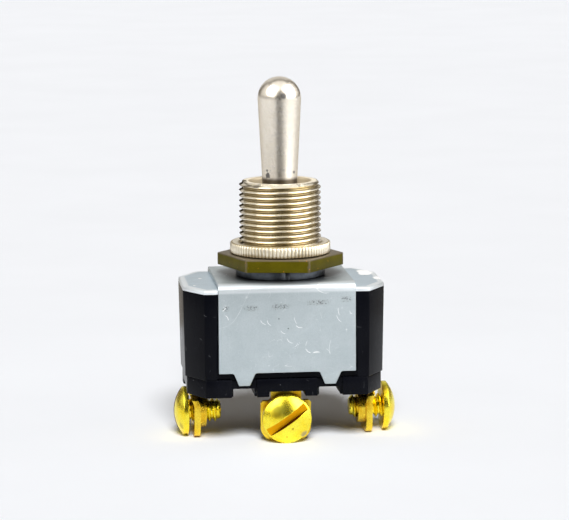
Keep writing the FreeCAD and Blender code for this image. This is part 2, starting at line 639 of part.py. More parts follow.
def make_nuts():
    """Hexagon nut, knurled nut and the washer below them."""
    made = []
    hexagon = new_body("hex_nut")
    plan = new_sketch(hexagon, "XY_Plane", "plan", "hex_low")
    turned = value("hex_turn")
    reach = value("hex_flats") / math.sqrt(3)
    corners = [math.radians(60 * index + turned) for index in range(6)]
    draw_loop(plan, [(reach * math.cos(corner), reach * math.sin(corner)) for corner in corners])
    draw_circle(plan, (0, 0), "thread_radius + nut_clear")
    extrude(hexagon, "Pad", plan, "hex_high - hex_low", "plate")
    top = value("hex_high")
    inside = value("thread_radius + nut_clear")
    dress(hexagon, "Chamfer", "edges", "edge_break * 0.8",
          lambda edge: lies_along(edge, (0, 0, 1)) or (at_place(edge, z=top) and not is_circle(edge, inside)))
    made.append(hexagon)

    ring = new_body("knurled_nut")
    plan = new_sketch(ring, "XY_Plane", "plan", "ring_low")
    draw_circle(plan, (0, 0), "ring_radius")
    draw_circle(plan, (0, 0), "thread_radius + nut_clear")
    extrude(ring, "Pad", plan, "ring_high - ring_low", "disc")
    tooth = new_sketch(ring, "XY_Plane", "knurl", "ring_low - 0.1")
    step = math.pi * value("ring_radius") / value("knurl_count")
    draw_loop(tooth, [
        ("ring_radius - knurl_deep", "0 * strip"),
        ("ring_radius + knurl_deep", -2.1 * step),
        ("ring_radius + knurl_deep", 2.1 * step),
    ])
    cut = extrude(ring, "Pocket", tooth, "ring_high - ring_low + 0.2", "knurl_cut", back=True)
    around = ring.newObject("PartDesign::PolarPattern", "knurls")
    around.Originals = [cut]
    around.Axis = ([item for item in ring.Origin.OriginFeatures if item.Role == "Z_Axis"][0], [""])
    around.Angle = 360
    around.setExpression("Occurrences", "Dims.knurl_count")
    ring.Tip = around
    doc.recompute()
    made.append(ring)

    washer = new_body("lock_washer")
    plan = new_sketch(washer, "XY_Plane", "plan", "frame_top")
    draw_circle(plan, (0, 0), "washer_radius")
    draw_circle(plan, (0, 0), "thread_radius + nut_clear")
    extrude(washer, "Pad", plan, "hex_low - frame_top", "ring")
    notch = new_sketch(washer, "XY_Plane", "notch", "hex_low")
    draw_loop(notch, [
        ("0 * strip", "-washer_radius - 1"),
        ("edge_break * 2", "-washer_radius - 1"),
        ("edge_break * 2", "-thread_radius + 0.5"),
        ("0 * strip", "-thread_radius + 0.5"),
    ])
    extrude(washer, "Pocket", notch, "edge_break * 3", "notch_cut")
    made.append(washer)
    return made


def make_lever():
    """Turned bat lever with its pivot boss and hollow inner arm, and its pivot pin."""
    body = new_body("bat_lever")
    half = new_sketch(body, "XZ_Plane", "half_section")
    slant = math.sqrt(0.5)
    draw_loop(half, [
        ("0 * strip", "arm_bore_top"),
        ("0 * strip", "tip_height"),
        ("bat_radius", "dome_low", "bat_radius * %.16f" % slant, "dome_low + bat_radius * %.16f" % slant),
        ("neck_radius", "pivot_height + boss_half"),
        ("boss_radius", "pivot_height + boss_half"),
        ("boss_radius", "pivot_height - boss_half"),
        ("arm_radius", "pivot_height - boss_half"),
        ("arm_radius", "arm_low"),
        ("plunger_radius + plunger_clear", "arm_low"),
        ("plunger_radius + plunger_clear", "arm_bore_top"),
    ])
    turn(body, "Revolution", half, "turned")
    hole = new_sketch(body, "XZ_Plane", "pin_hole")
    draw_circle(hole, (0, "pivot_height"), "pin_radius + pin_clear")
    extrude(body, "Pocket", hole, "4 * boss_radius", "pin_hole_cut", both=True)

    pin = doc.addObject("Part::Cylinder", "pivot_pin")
    pin.Label = "pivot_pin"
    pin.setExpression("Radius", bound("pin_radius"))
    pin.setExpression("Height", bound("2 * pin_half"))
    across = FreeCAD.Rotation(FreeCAD.Vector(1, 0, 0), 90)
    pin.Placement = FreeCAD.Placement(FreeCAD.Vector(0, value("pin_half"), value("pivot_height")), across)
    return [body, pin]


def make_plunger():
    """Round-ended plunger in the lever's arm, and the envelope of its spring."""
    body = new_body("plunger")
    half = new_sketch(body, "XZ_Plane", "half_section")
    tip = value("plunger_radius")
    centre = value("tip_centre")
    edge = math.radians(value("tip_angle"))
    draw_loop(half, [
        ("0 * strip", "tip_centre - plunger_radius"),
        (tip * math.sin(edge), centre - tip * math.cos(edge),
         tip * math.sin(edge / 2), centre - tip * math.cos(edge / 2)),
        ("plunger_radius", centre - tip * math.tan(math.pi / 4 - edge / 2)),
        ("plunger_radius", "plunger_top"),
        ("0 * strip", "plunger_top"),
    ])
    turn(body, "Revolution", half, "turned")

    outer = doc.addObject("Part::Cylinder", "spring_outside")
    outer.setExpression("Radius", bound("spring_radius + spring_wire"))
    inner = doc.addObject("Part::Cylinder", "spring_inside")
    inner.setExpression("Radius", bound("spring_radius - spring_wire"))
    for tube in (outer, inner):
        tube.setExpression("Height", bound("arm_bore_top - seat_gap - plunger_top"))
        tube.setExpression("Placement.Base.z", bound("plunger_top"))
    spring = doc.addObject("Part::Cut", "plunger_spring")
    spring.Label = "plunger_spring"
    spring.Base = outer
    spring.Tool = inner
    spring.Placement = FreeCAD.Placement()
    return [body, spring]


def saddle():
    """Radius and centre height of the rocker's saddle.

    The plunger's tip is followed over the throw in the rocker's own frame,
    and the saddle is the arc that stays one clearance away from it.
    """
    reach = value("pivot_height - tip_centre")
    lever = math.radians(value("throw"))
    rocker = math.radians(value("rocker_throw"))
    rest = value("tip_centre - rocker_pivot")
    away_x = reach * math.sin(lever)
    away_z = rest + reach * (1 - math.cos(lever))
    side = away_x * math.cos(rocker) - away_z * math.sin(rocker)
    rise = away_x * math.sin(rocker) + away_z * math.cos(rocker) - rest
    radius = (side ** 2 + rise ** 2) / (2 * rise)
    centre = value("tip_centre") + radius
    return radius + value("plunger_radius + tip_clear"), centre


def make_rocker():
    """See-saw contact arm, its post and the four contacts."""
    radius, centre = saddle()
    edge_x = value("saddle_half")
    edge_z = centre - math.sqrt(radius ** 2 - edge_x ** 2)
    body = new_body("contact_rocker")
    side = new_sketch(body, "XZ_Plane", "side")
    top = "rocker_low + rocker_thick"
    groove = "(edge_radius + edge_clear)"
    draw_loop(side, [
        ("rocker_half_x", "rocker_low"),
        ("rocker_half_x", top),
        ("saddle_half + 1.6", top),
        ("saddle_half + 0.3", edge_z),
        ("saddle_half", edge_z),
        ("-saddle_half", edge_z, "0 * strip", centre - radius),
        ("-saddle_half - 0.3", edge_z),
        ("-saddle_half - 1.6", top),
        ("-rocker_half_x", top),
        ("-rocker_half_x", "rocker_low"),
        ("-2.2 * edge_radius - 1.2", "rocker_low"),
        ("-2.2 * edge_radius", "rocker_pivot"),
        ("-" + groove, "rocker_pivot"),
        (groove, "rocker_pivot", "0 * strip", "rocker_pivot + edge_radius + edge_clear"),
        ("2.2 * edge_radius", "rocker_pivot"),
        ("2.2 * edge_radius + 1.2", "rocker_low"),
    ])
    extrude(body, "Pad", side, "2 * rocker_half_y", "arm", both=True)
    half_x = value("rocker_half_x")
    half_y = value("rocker_half_y")
    dress(body, "Fillet", "ends", "rocker_half_y * 0.6",
          lambda edge: lies_along(edge, (0, 0, 1)) and at_place(edge, x=half_x, y=half_y))
    made = [body]

    post = new_body("rocker_post")
    section = new_sketch(post, "XZ_Plane", "section")
    draw_loop(section, [
        ("edge_radius", "rocker_pivot"),
        ("-edge_radius", "rocker_pivot", "0 * strip", "rocker_pivot + edge_radius"),
        ("-edge_radius", "parting + foot_high"),
        ("-edge_radius - foot_wide", "parting + foot_high"),
        ("-edge_radius - foot_wide", "parting"),
        ("edge_radius + foot_wide", "parting"),
        ("edge_radius + foot_wide", "parting + foot_high"),
        ("edge_radius", "parting + foot_high"),
    ])
    extrude(post, "Pad", section, "2 * (rocker_half_y - post_short)", "post", both=True)
    made.append(post)

    for name, sign in (("left", -1), ("right", 1)):
        moving = new_body("rocker_contact_" + name)
        half = new_sketch(moving, "XZ_Plane", "half_section")
        draw_loop(half, [
            ("0 * strip", "moving_low"),
            ("moving_radius", "moving_low + moving_crown"),
            ("moving_radius", "rocker_low"),
            ("0 * strip", "rocker_low"),
        ])
        turn(moving, "Revolution", half, "turned")
        moving.Placement = FreeCAD.Placement(FreeCAD.Vector(sign * value("contact_x"), 0, 0), FreeCAD.Rotation())
        made.append(moving)

        fixed = doc.addObject("Part::Cylinder", "fixed_contact_" + name)
        fixed.Label = "fixed_contact_" + name
        fixed.setExpression("Radius", bound("fixed_radius"))
        fixed.setExpression("Height", bound("fixed_high - parting"))
        place = FreeCAD.Vector(sign * value("contact_x"), 0, value("parting"))
        fixed.Placement = FreeCAD.Placement(place, FreeCAD.Rotation())
        made.append(fixed)
    return made


parts = [make_frame(), make_cover(), make_case(), make_terminal_base(), make_bushing()]
parts += make_nuts() + make_lever() + make_plunger() + make_rocker()
TERMINALS = [
    ("left", "end_plate", "end_shelf", "0.7", 100.0, -90.0),
    ("common", "common_plate", "common_shelf", "1.1", 35.0, 0.0),
    ("right", "end_plate", "end_shelf", "1.7", 60.0, 90.0),
]
for name, plate, shelf_end, backed_out, slot_angle, angle in TERMINALS:
    parts.append(make_terminal("terminal_" + name, plate, shelf_end, angle))
    parts.append(make_screw("terminal_screw_" + name, plate, backed_out, slot_angle, angle))

doc.recompute()
for item in doc.Objects:
    if "Invalid" in item.State or "Error" in item.State:
        raise ValueError("%s has the state %s" % (item.Label, item.State))
os.makedirs("parts", exist_ok=True)
for item in parts:
    if item.Shape.isNull() or not item.Shape.isValid() or len(item.Shape.Solids) != 1:
        raise ValueError("%s isn't one valid solid" % item.Label)
    item.Shape.exportStep("parts/%s.step" % item.Label)
    print(item.Label, round(item.Shape.Volume, 2))
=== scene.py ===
"""Looks of a toggle switch: bat lever, threaded bushing, nuts, sheet frame, case, terminals."""
import logging
import math
from collections.abc import Callable
from dataclasses import dataclass, replace
from enum import Enum

import bmesh
import bpy
from mathutils import Matrix, Quaternion, Vector


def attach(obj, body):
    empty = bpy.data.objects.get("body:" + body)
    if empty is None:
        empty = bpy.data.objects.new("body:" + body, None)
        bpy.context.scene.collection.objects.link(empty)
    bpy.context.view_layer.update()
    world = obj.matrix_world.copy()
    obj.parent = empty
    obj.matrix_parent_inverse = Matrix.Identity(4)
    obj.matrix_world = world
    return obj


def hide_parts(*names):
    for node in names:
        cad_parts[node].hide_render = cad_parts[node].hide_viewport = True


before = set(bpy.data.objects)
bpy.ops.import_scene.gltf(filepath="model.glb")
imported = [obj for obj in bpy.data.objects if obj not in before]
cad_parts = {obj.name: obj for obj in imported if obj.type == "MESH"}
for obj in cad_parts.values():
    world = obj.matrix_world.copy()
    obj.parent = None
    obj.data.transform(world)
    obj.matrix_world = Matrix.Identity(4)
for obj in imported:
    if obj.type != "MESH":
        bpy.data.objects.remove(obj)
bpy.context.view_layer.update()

LOG = logging.getLogger("toggle_switch")
MM = 0.001
MERGE_GAP = 1e-4
SEAM_GAP = 2e-3
PLANE_GAP = 1e-5
STRAIGHT_BEND = math.radians(150)
SEGMENTS = 96
FINE_SEGMENTS = 128
THREAD_SEGMENTS = 120
SHANK_SEGMENTS = 48
Point = tuple[float, float]
Place = tuple[float, float, float]
Colour = tuple[float, float, float]


# Shader arithmetic


class Signal:
    """A shader socket that can be used in sums and products."""

    def __init__(self, tree: "Tree", socket: bpy.types.NodeSocket) -> None:
        """Wraps one output socket of the tree."""
        self.tree = tree
        self.socket = socket

    def math(self, operation: str, *others: "Signal | float") -> "Signal":
        """Math node with this signal first."""
        return self.tree.add("Math", {"operation": operation}, (self, *others))

    def __add__(self, other: "Signal | float") -> "Signal":
        """Sum."""
        return self.math("ADD", other)

    __radd__ = __add__

    def __mul__(self, other: "Signal | float") -> "Signal":
        """Product."""
        return self.math("MULTIPLY", other)

    __rmul__ = __mul__

    def __sub__(self, other: "Signal | float") -> "Signal":
        """Difference."""
        return self.math("SUBTRACT", other)

    def __rsub__(self, other: float) -> "Signal":
        """Difference from a number."""
        return self.tree.add("Math", {"operation": "SUBTRACT"}, (other, self))

    def __truediv__(self, other: "Signal | float") -> "Signal":
        """Quotient."""
        return self.math("DIVIDE", other)

    def __abs__(self) -> "Signal":
        """Size without sign."""
        return self.math("ABSOLUTE")

    def step(self, low: float, high: float) -> "Signal":
        """Smooth step: 0 below low and 1 above high, or the reverse where low is the larger."""
        settings = {"interpolation_type": "SMOOTHSTEP"}
        if low < high:
            return self.tree.add("MapRange", settings, (self, low, high, 0.0, 1.0))
        return self.tree.add("MapRange", settings, (self, high, low, 1.0, 0.0))


class Tree:
    """Node tree of one material, with coordinates in millimetres."""

    def __init__(self, material: bpy.types.Material) -> None:
        """Empties the material's tree and places its output and its shader."""
        material.use_nodes = True
        self.nodes = material.node_tree.nodes
        self.links = material.node_tree.links
        self.nodes.clear()
        output = self.nodes.new("ShaderNodeOutputMaterial")
        self.shader = self.nodes.new("ShaderNodeBsdfPrincipled")
        self.links.new(self.shader.outputs[0], output.inputs[0])
        self.colour: "Signal | Colour" = (0.0, 0.0, 0.0)
        place = self.nodes.new("ShaderNodeTexCoord")
        self.place = self.add("VectorMath", {"operation": "SCALE"},
                              {0: Signal(self, place.outputs["Object"]), "Scale": 1 / MM})

    def add(self, kind: str, settings: dict, inputs: "dict | tuple", output: "int | str" = 0) -> Signal:
        """Makes one node of any kind.

        Args:
            kind: the node's type, without ShaderNode in front.
            settings: its options, set before its sockets.
            inputs: values or signals by socket name or number.
            output: the socket that is wanted.

        Returns:
            The chosen output as a signal.
        """
        node = self.nodes.new("ShaderNode" + kind)
        for name, value in settings.items():
            setattr(node, name, value)
        pairs = inputs.items() if isinstance(inputs, dict) else enumerate(inputs)
        for key, value in pairs:
            if isinstance(value, Signal):
                self.links.new(value.socket, node.inputs[key])
            else:
                node.inputs[key].default_value = value
        return Signal(self, node.outputs[output])

    def noise(self, scale: float, detail: float = 3.0, stretch: Place = (1, 1, 1), shift: float = 0.0,
              distortion: float = 0.0) -> Signal:
        """Noise from 0 to 1 with scale features in a millimetre."""
        offset = (shift, shift * 0.7, shift * 1.3)
        place = self.add("Mapping", {},
                         {"Vector": self.place, "Location": offset, "Scale": stretch})
        return self.add("TexNoise", {},
                        {"Vector": place, "Scale": scale, "Detail": detail, "Distortion": distortion})

    def specks(self, scale: float, size: float, chance: float) -> Signal:
        """Small round specks: 1 inside one, 0 outside.

        Args:
            scale: cells in a millimetre.
            size: speck radius as a share of a cell.
            chance: share of the cells that hold a speck.

        Returns:
            The mask.
        """
        sockets = {"Vector": self.place, "Scale": scale}
        near = self.add("TexVoronoi", {}, sockets, "Distance")
        cell = self.add("TexVoronoi", {}, sockets, "Color")
        pick = self.add("SeparateColor", {}, {0: cell}, 0)
        return near.step(size, size * 0.6) * pick.math("LESS_THAN", chance)

    def hairlines(self, scale: float, width: float, sparse: float, shift: float,
                  stretch: Place = (1, 1, 1)) -> Signal:
        """Short curved hairlines, where a slow noise crosses its middle.

        Args:
            scale: bends in a millimetre.
            width: how wide a line is, in noise units.
            sparse: share of every line that is left out.
            shift: another number gives other lines.
            stretch: scale along each axis.

        Returns:
            The mask.
        """
        crossing = abs(self.noise(scale, 0.0, stretch, shift) - 0.5).step(width, width * 0.2)
        return crossing * self.noise(scale * 1.7, 1.0, (1, 1, 1), shift + 7).step(sparse, sparse + 0.03)

    def vector(self, operation: str, other: Place) -> Signal:
        """Number that a vector operation gives from the place and another vector."""
        return self.add("VectorMath", {"operation": operation}, {0: self.place, 1: other}, "Value")

    def spot(self, spot: "Spot | TintedSpot") -> Signal:
        """Mask of a nick, chip, smudge, stain, painted glint, painted reflection or painted shade with a
        ragged edge.
        """
        stray = self.noise(1.3 / spot.radius, 4.0, shift=spot.centre[0]) - 0.5
        edge = self.vector("DISTANCE", spot.centre) + stray * (2 * spot.ragged * spot.radius)
        return edge.step(spot.radius, spot.radius * (1 - spot.soft))

    def reach(self) -> Signal:
        """Distance from the Z axis in millimetres."""
        across = self.axis("X")
        along = self.axis("Y")
        return (across * across + along * along).math("SQRT")

    def along(self, direction: Place) -> Signal:
        """Coordinate along a unit direction in millimetres."""
        return self.vector("DOT_PRODUCT", direction)

    def tick(self, tick: "Tick") -> Signal:
        """Mask of a curved scratch on a face that looks along Y."""
        across = self.axis("X") - tick.centre[0]
        upward = self.axis("Z") - tick.centre[1]
        far = (across * across + upward * upward).math("SQRT")
        turn = math.radians(tick.toward)
        facing = (across * math.cos(turn) + upward * math.sin(turn)) / far
        inside = facing.step(math.cos(math.radians(tick.half)), math.cos(math.radians(tick.half * 0.6)))
        return abs(far - tick.radius).step(tick.width * 0.8, tick.width * 0.2) * inside

    def axis(self, name: str) -> Signal:
        """The X, Y or Z coordinate in millimetres."""
        return self.add("SeparateXYZ", {}, {0: self.place}, name)

    def coat(self, share: Signal, over: Colour) -> None:
        """Lays another colour over the colour so far: none of it at share 0, all at 1."""
        under = self.colour if isinstance(self.colour, Signal) else (*self.colour, 1.0)
        self.colour = self.add("Mix", {"data_type": "RGBA", "clamp_factor": True},
                               {"Factor": share, 6: under, 7: (*over, 1.0)}, 2)

    def bump(self, height: Signal, reach: float) -> Signal:
        """Normal from a height in units of reach millimetres."""
        return self.add("Bump", {}, {"Height": height, "Strength": 1.0, "Distance": reach * MM})

    def dress(self, **sockets: "Signal | float") -> None:
        """Links the colour and sets or links other sockets; an underline stands for a space."""
        for name, value in {"Base_Color": self.colour, **sockets}.items():
            socket = self.shader.inputs[name.replace("_", " ")]
            if isinstance(value, Signal):
                self.links.new(value.socket, socket)
            else:
                socket.default_value = value


# Marks that a finish carries, in millimetres


@dataclass(frozen=True)
class Spot:
    """A round nick, chip, smudge, painted glint or painted dark reflection.

    ragged is how far its edge strays and soft how wide the band is in which
    it fades, both as shares of the radius.
    """

    centre: Place
    radius: float
    ragged: float = 0.5
    soft: float = 0.2


@dataclass(frozen=True)
class TintedSpot:
    """A soft round spot with its colour and strength, for real stains and for painted shade."""

    centre: Place
    radius: float
    tint: Colour
    share: float
    ragged: float = 0.35
    soft: float = 0.7


@dataclass(frozen=True)
class Tick:
    """A curved scratch on a face that looks along Y.

    centre is X and Z of the arc's centre, toward the direction from there to
    the arc's middle and half the arc's half angle, both in degrees, and width
    the scratch's half width.
    """

    centre: Point
    radius: float
    toward: float
    half: float
    width: float


@dataclass(frozen=True)
class ValleyTarnishAndShade:
    """Valleys between radius inner and high, tinted from high down to low, below height top, with tarnish
    and painted shade.
    """

    inner: float
    low: float
    high: float
    tint: Colour
    top: float = 100.0


@dataclass(frozen=True)
class Mouth:
    """Bore inside radius wide and above height low, made less metallic, with painted shade on its wall
    inside radius wall.
    """

    wide: float
    low: float
    wall: float


@dataclass(frozen=True)
class KeywayShade:
    """Painted shade in the groove within half of the middle and beyond deep towards -X."""

    half: float
    deep: float


@dataclass(frozen=True)
class BendHighlight:
    """Painted highlight along the bend between heights low and high, in front of Y limit."""

    low: float
    high: float
    limit: float


@dataclass(frozen=True)
class Shadow:
    """Dark ring above height low that fades from radius inner to outer."""

    inner: float
    outer: float
    low: float
    share: float


@dataclass(frozen=True)
class RimHighlight:
    """Painted highlight along the edge of a plate with cut corners: X slope_x + Y slope_y = slope along a
    cut.
    """

    half_x: float
    half_y: float
    slope_x: float
    slope_y: float
    slope: float


@dataclass(frozen=True)
class SlotShade:
    """Painted shade in a screw slot between two planes at offset along normal, above floor along axis."""

    normal: Place
    offset: float
    half: float
    axis: Place
    floor: float


# Finishes


@dataclass(frozen=True)
class Finish:
    """A surface finish that is made into one material."""

    name: str

    def build(self, tree: Tree) -> None:
        """Fills the tree; each kind of finish has its own."""
        raise NotImplementedError

    def material(self) -> bpy.types.Material:
        """The finish's material, made once."""
        known = bpy.data.materials.get(self.name)
        if known:
            return known
        made = bpy.data.materials.new(self.name)
        self.build(Tree(made))
        return made


@dataclass(frozen=True)
class Plating(Finish):
    """Nickel, zinc or steel with fine grain, faint stains and small nicks, and where set, tarnish with
    painted shade in valleys, painted shade in a bore's mouth and keyway, and a painted dark reflection.
    """

    light: Colour = (0.7, 0.66, 0.58)
    dark: Colour = (0.5, 0.46, 0.38)
    rough: float = 0.25
    grain: float = 0.002
    fineness: float = 6.0
    stretch: Place = (1, 1, 1)
    pits: float = 0.03
    nicks_and_dark_reflection: tuple[Spot, ...] = ()
    valley_tarnish_and_shade: ValleyTarnishAndShade | None = None
    mouth: Mouth | None = None
    keyway: KeywayShade | None = None
    foot: float = 0.0

    def build(self, tree: Tree) -> None:
        """Blends two tones by a cloudy noise, darkens valleys with tarnish and painted shade, darkens the
        foot, paints shade on the mouth's wall and in the keyway, and darkens and roughens nicks and a
        painted dark reflection.
        """
        metal = 1.0
        cloud = tree.noise(0.9, 4.0)
        grain = tree.noise(self.fineness, 3.0, self.stretch, shift=3.0)
        pits = tree.specks(3.0, size=0.16, chance=self.pits)
        tree.colour = self.light
        tree.coat(cloud.step(0.35, 0.75), self.dark)
        marks = pits
        # Tarnish and painted shade in the valleys of threads and knurls.
        if self.valley_tarnish_and_shade:
            valley_tarnish_and_shade = self.valley_tarnish_and_shade
            reach = tree.reach()
            valley = reach.step(valley_tarnish_and_shade.high, valley_tarnish_and_shade.low) * reach.step(valley_tarnish_and_shade.inner - 0.1, valley_tarnish_and_shade.inner)
            valley *= tree.axis("Z").step(valley_tarnish_and_shade.top, valley_tarnish_and_shade.top - 0.1)
            tree.coat(valley * (cloud * 0.3 + 0.7), valley_tarnish_and_shade.tint)
            marks += valley * 0.5
        tree.coat(pits * 0.6, (0.10, 0.09, 0.07))
        # Darker brown below height foot.
        if self.foot:
            foot_darkening = tree.axis("Z").step(self.foot + 0.35, self.foot - 0.35)
            tree.coat(foot_darkening * (grain * 0.3 + 0.75), (0.06, 0.038, 0.016))
            marks += foot_darkening * 0.6
        if self.mouth:
            wide = self.mouth.wide
            inside = tree.reach().step(wide + 0.05, wide)
            inside *= tree.axis("Z").step(self.mouth.low, self.mouth.low + 0.4)
            metal = inside * -0.75 + 1.0
            marks += inside
            # Painted shade on the mouth's inner wall.
            wall = tree.reach().step(self.mouth.wall + 0.06, self.mouth.wall - 0.02) * inside
            tree.coat(wall * 0.75, (0.50, 0.40, 0.25))
        if self.keyway:
            # Painted shade in the keyway groove.
            half, deep = self.keyway.half, self.keyway.deep
            slot = abs(tree.axis("Y")).step(half + 0.05, half + 0.01)
            slot *= tree.axis("X").step(0.1 - deep, -deep)
            tree.coat(slot, (0.10, 0.08, 0.045))
            marks += slot
        # Nicks, and a painted dark reflection.
        for spot in self.nicks_and_dark_reflection:
            dark_mark = tree.spot(spot)
            tree.coat(dark_mark * 0.85, (0.05, 0.05, 0.06))
            marks += dark_mark
        roughness = (grain - 0.5) * 0.12 + cloud * 0.06 + marks * 0.2 + self.rough
        height = grain - marks * 3.0
        tree.dress(Metallic=metal, Roughness=roughness, Normal=tree.bump(height, self.grain))


@dataclass(frozen=True)
class Sheet(Finish):
    """Satin zinc on sheet steel with curved bright scratches, chips, painted glints, smudges and dark
    specks, and painted highlights along bends and rims.
    """

    tone: Colour = (0.60, 0.665, 0.69)
    shade: Colour = (0.50, 0.56, 0.59)
    chips_and_glints: tuple[Spot, ...] = ()
    ticks: tuple[Tick, ...] = ()
    smudges: tuple[Spot, ...] = ()
    scratches: float = 1.5
    shadow: Shadow | None = None
    crease: BendHighlight | None = None
    rim_highlight: RimHighlight | None = None
    # Colour of the painted highlight along bends and rims.
    wear_and_highlight: Colour = (0.76, 0.81, 0.84)

    def build(self, tree: Tree) -> None:
        """Lays cloud, grain, scratches, smudges, specks, chips and painted glints over the zinc, with
        painted highlights along bends and rims and a painted shadow ring.
        """
        cloud = tree.noise(0.35, 5.0)
        grain = tree.noise(8.0, 4.0, shift=2.0)
        wear_and_highlight = tree.noise(0.25, 3.0, shift=11.0).step(0.45, 0.62)
        broad = tree.hairlines(0.42, width=0.006, sparse=0.62, shift=1.0) * 0.6
        fine = tree.hairlines(0.8, width=0.005, sparse=0.54, shift=4.0) * 0.5
        long = tree.hairlines(0.12, width=0.0022, sparse=0.50, shift=9.0, stretch=(1.0, 1.0, 0.5)) * 0.5
        flecks = tree.specks(1.1, size=0.12, chance=0.16) * 0.7
        bright = (broad + fine + long) * (wear_and_highlight * 0.75 + 0.25) * self.scratches + flecks * wear_and_highlight
        for tick in self.ticks:
            bright += tree.tick(tick) * (grain * 0.6 + 0.7)
        dark = tree.specks(0.8, size=0.10, chance=0.08) * 0.8
        tree.colour = self.tone
        tree.coat(cloud.step(0.3, 0.7), self.shade)
        tree.coat((grain - 0.5) * 1.1 + 0.08, (0.30, 0.35, 0.38))
        # Painted highlight along the bend and, on a plate, along its rim.
        if self.crease:
            tree.coat(self.edge_highlight(tree) * (cloud * 0.4 + 0.5), self.wear_and_highlight)
        if self.shadow:
            shadow = self.shadow
            near = tree.reach().step(shadow.outer, shadow.inner)
            near *= tree.axis("Z").step(shadow.low, shadow.low + 0.3)
            tree.coat(near * shadow.share, (0.02, 0.022, 0.026))
        broken = tree.noise(4.2, 4.0, (1.0, 1.0, 1.6), shift=17.0).step(0.52, 0.58)
        for spot in self.smudges:
            line = abs(tree.axis("Z") - spot.centre[2]).step(0.55, 0.12)
            smudge = tree.spot(spot) * line * (broken * 0.9 + 0.1)
            tree.coat(smudge * 0.9, (0.10, 0.10, 0.10))
        tree.coat(bright, (0.97, 0.98, 0.98))
        tree.coat(dark, (0.07, 0.08, 0.09))
        height = grain - dark * 3.0 + bright * 0.8
        rough = (grain - 0.5) * 0.15 + 0.36 - bright * 0.08
        scuffs_and_glints = bright
        # Chips, and painted glints: white spots that stand for reflections.
        for spot in self.chips_and_glints:
            white_spot = tree.spot(spot)
            scuffs_and_glints += white_spot
            tree.coat(white_spot, (1.0, 1.0, 1.0))
            rough += white_spot * 0.3
            height += white_spot * 2.0
        tree.dress(Metallic=0.55 - scuffs_and_glints.step(0.0, 1.0) * 0.5, Roughness=rough,
                   Normal=tree.bump(height, 0.004))

    def edge_highlight(self, tree: Tree) -> Signal:
        """Where the sheet gets a painted highlight: along its bend and, on a plate, along its edge."""
        upward = tree.axis("Z")
        crease = self.crease
        band = upward.step(crease.low - 0.2, crease.low + 0.25)
        band *= upward.step(crease.high + 0.05, crease.high - 0.1)
        band *= tree.axis("Y").step(crease.limit, crease.limit - 0.3)
        if self.rim_highlight:
            rim_highlight = self.rim_highlight
            across = abs(tree.axis("X"))
            along = abs(tree.axis("Y"))
            edge = (across - rim_highlight.half_x).math("MAXIMUM", along - rim_highlight.half_y)
            corner = across * rim_highlight.slope_x + along * rim_highlight.slope_y - rim_highlight.slope
            band = band.math("MAXIMUM", edge.math("MAXIMUM", corner).step(-0.65, -0.3))
        return band


@dataclass(frozen=True)
class Phenolic(Finish):
    """Black moulded phenolic with a soft gloss, flow marks and a little dust."""

    tone: Colour = (0.0025, 0.0028, 0.0045)

    def build(self, tree: Tree) -> None:
        """Varies the gloss by flow marks and scatters pale dust."""
        flow = tree.noise(0.25, 4.0, (1, 1, 0.35), shift=1.0, distortion=0.6)
        grain = tree.noise(9.0, 3.0)
        dust = tree.specks(0.9, size=0.07, chance=0.12) * 0.35
        scuff = tree.hairlines(0.4, width=0.006, sparse=0.60, shift=3.0) * 0.25
        tree.colour = self.tone
        tree.coat(flow.step(0.3, 0.8), (0.0045, 0.005, 0.0075))
        tree.coat(dust + scuff, (0.30, 0.31, 0.33))
        rough = (flow - 0.5) * 0.12 + (grain - 0.5) * 0.10 + 0.26 + scuff
        tree.dress(Metallic=0.0, Roughness=rough, Specular_IOR_Level=0.055,
                   Normal=tree.bump(grain + flow * 2.0, 0.003))


@dataclass(frozen=True)
class Brass(Finish):
    """Bright yellow brass with brown tarnish, stains, painted shade and small pits."""

    bright: Colour = (1.0, 0.88, 0.075)
    deep: Colour = (0.97, 0.70, 0.02)
    tarnish: Colour = (0.24, 0.12, 0.008)
    rough: float = 0.27
    spread: float = 0.25
    stains_and_shade: tuple[TintedSpot, ...] = ()
    slot: SlotShade | None = None

    def build(self, tree: Tree) -> None:
        """Blends bright and deep brass, then adds tarnish, painted shade in the slot, stains and painted
        shade spots, and pits.
        """
        cloud = tree.noise(0.5, 4.0, shift=2.0)
        grain = tree.noise(6.0, 3.0, shift=5.0)
        patch = tree.noise(0.7, 5.0, shift=8.0).step(0.74 - self.spread * 0.4, 0.95)
        pits = tree.specks(1.6, size=0.13, chance=0.10)
        tree.colour = self.bright
        tree.coat(cloud.step(0.35, 0.75), self.deep)
        tree.coat((grain - 0.5) * 0.5, self.deep)
        tree.coat(patch, self.tarnish)
        tree.coat(pits * 0.7, (0.35, 0.17, 0.02))
        wear_and_highlight = patch * 0.25 + pits * 0.2
        if self.slot:
            half, floor = self.slot.half, self.slot.floor
            across = tree.along(self.slot.normal) - self.slot.offset
            cut = abs(across).step(half + 0.04, half)
            cut *= tree.along(self.slot.axis).step(floor - 0.05, floor - 0.02)
            # Painted shade in the slot: deeper amber on its walls, dark brown on its lower wall.
            tree.coat(cut, (0.90, 0.42, 0.005))
            tree.coat(cut * across.step(0.1 - half, -half), (0.10, 0.025, 0.001))
            wear_and_highlight += cut * 0.15
        # Stains, and on the strips painted shade.
        for tinted_spot in self.stains_and_shade:
            blot = tree.spot(tinted_spot) * tinted_spot.share
            tree.coat(blot, tinted_spot.tint)
            wear_and_highlight += blot * 0.2
        rough = (grain - 0.5) * 0.12 + wear_and_highlight + self.rough
        tree.dress(Metallic=1.0, Roughness=rough, Normal=tree.bump(grain - pits * 2.0 + cloud, 0.004))


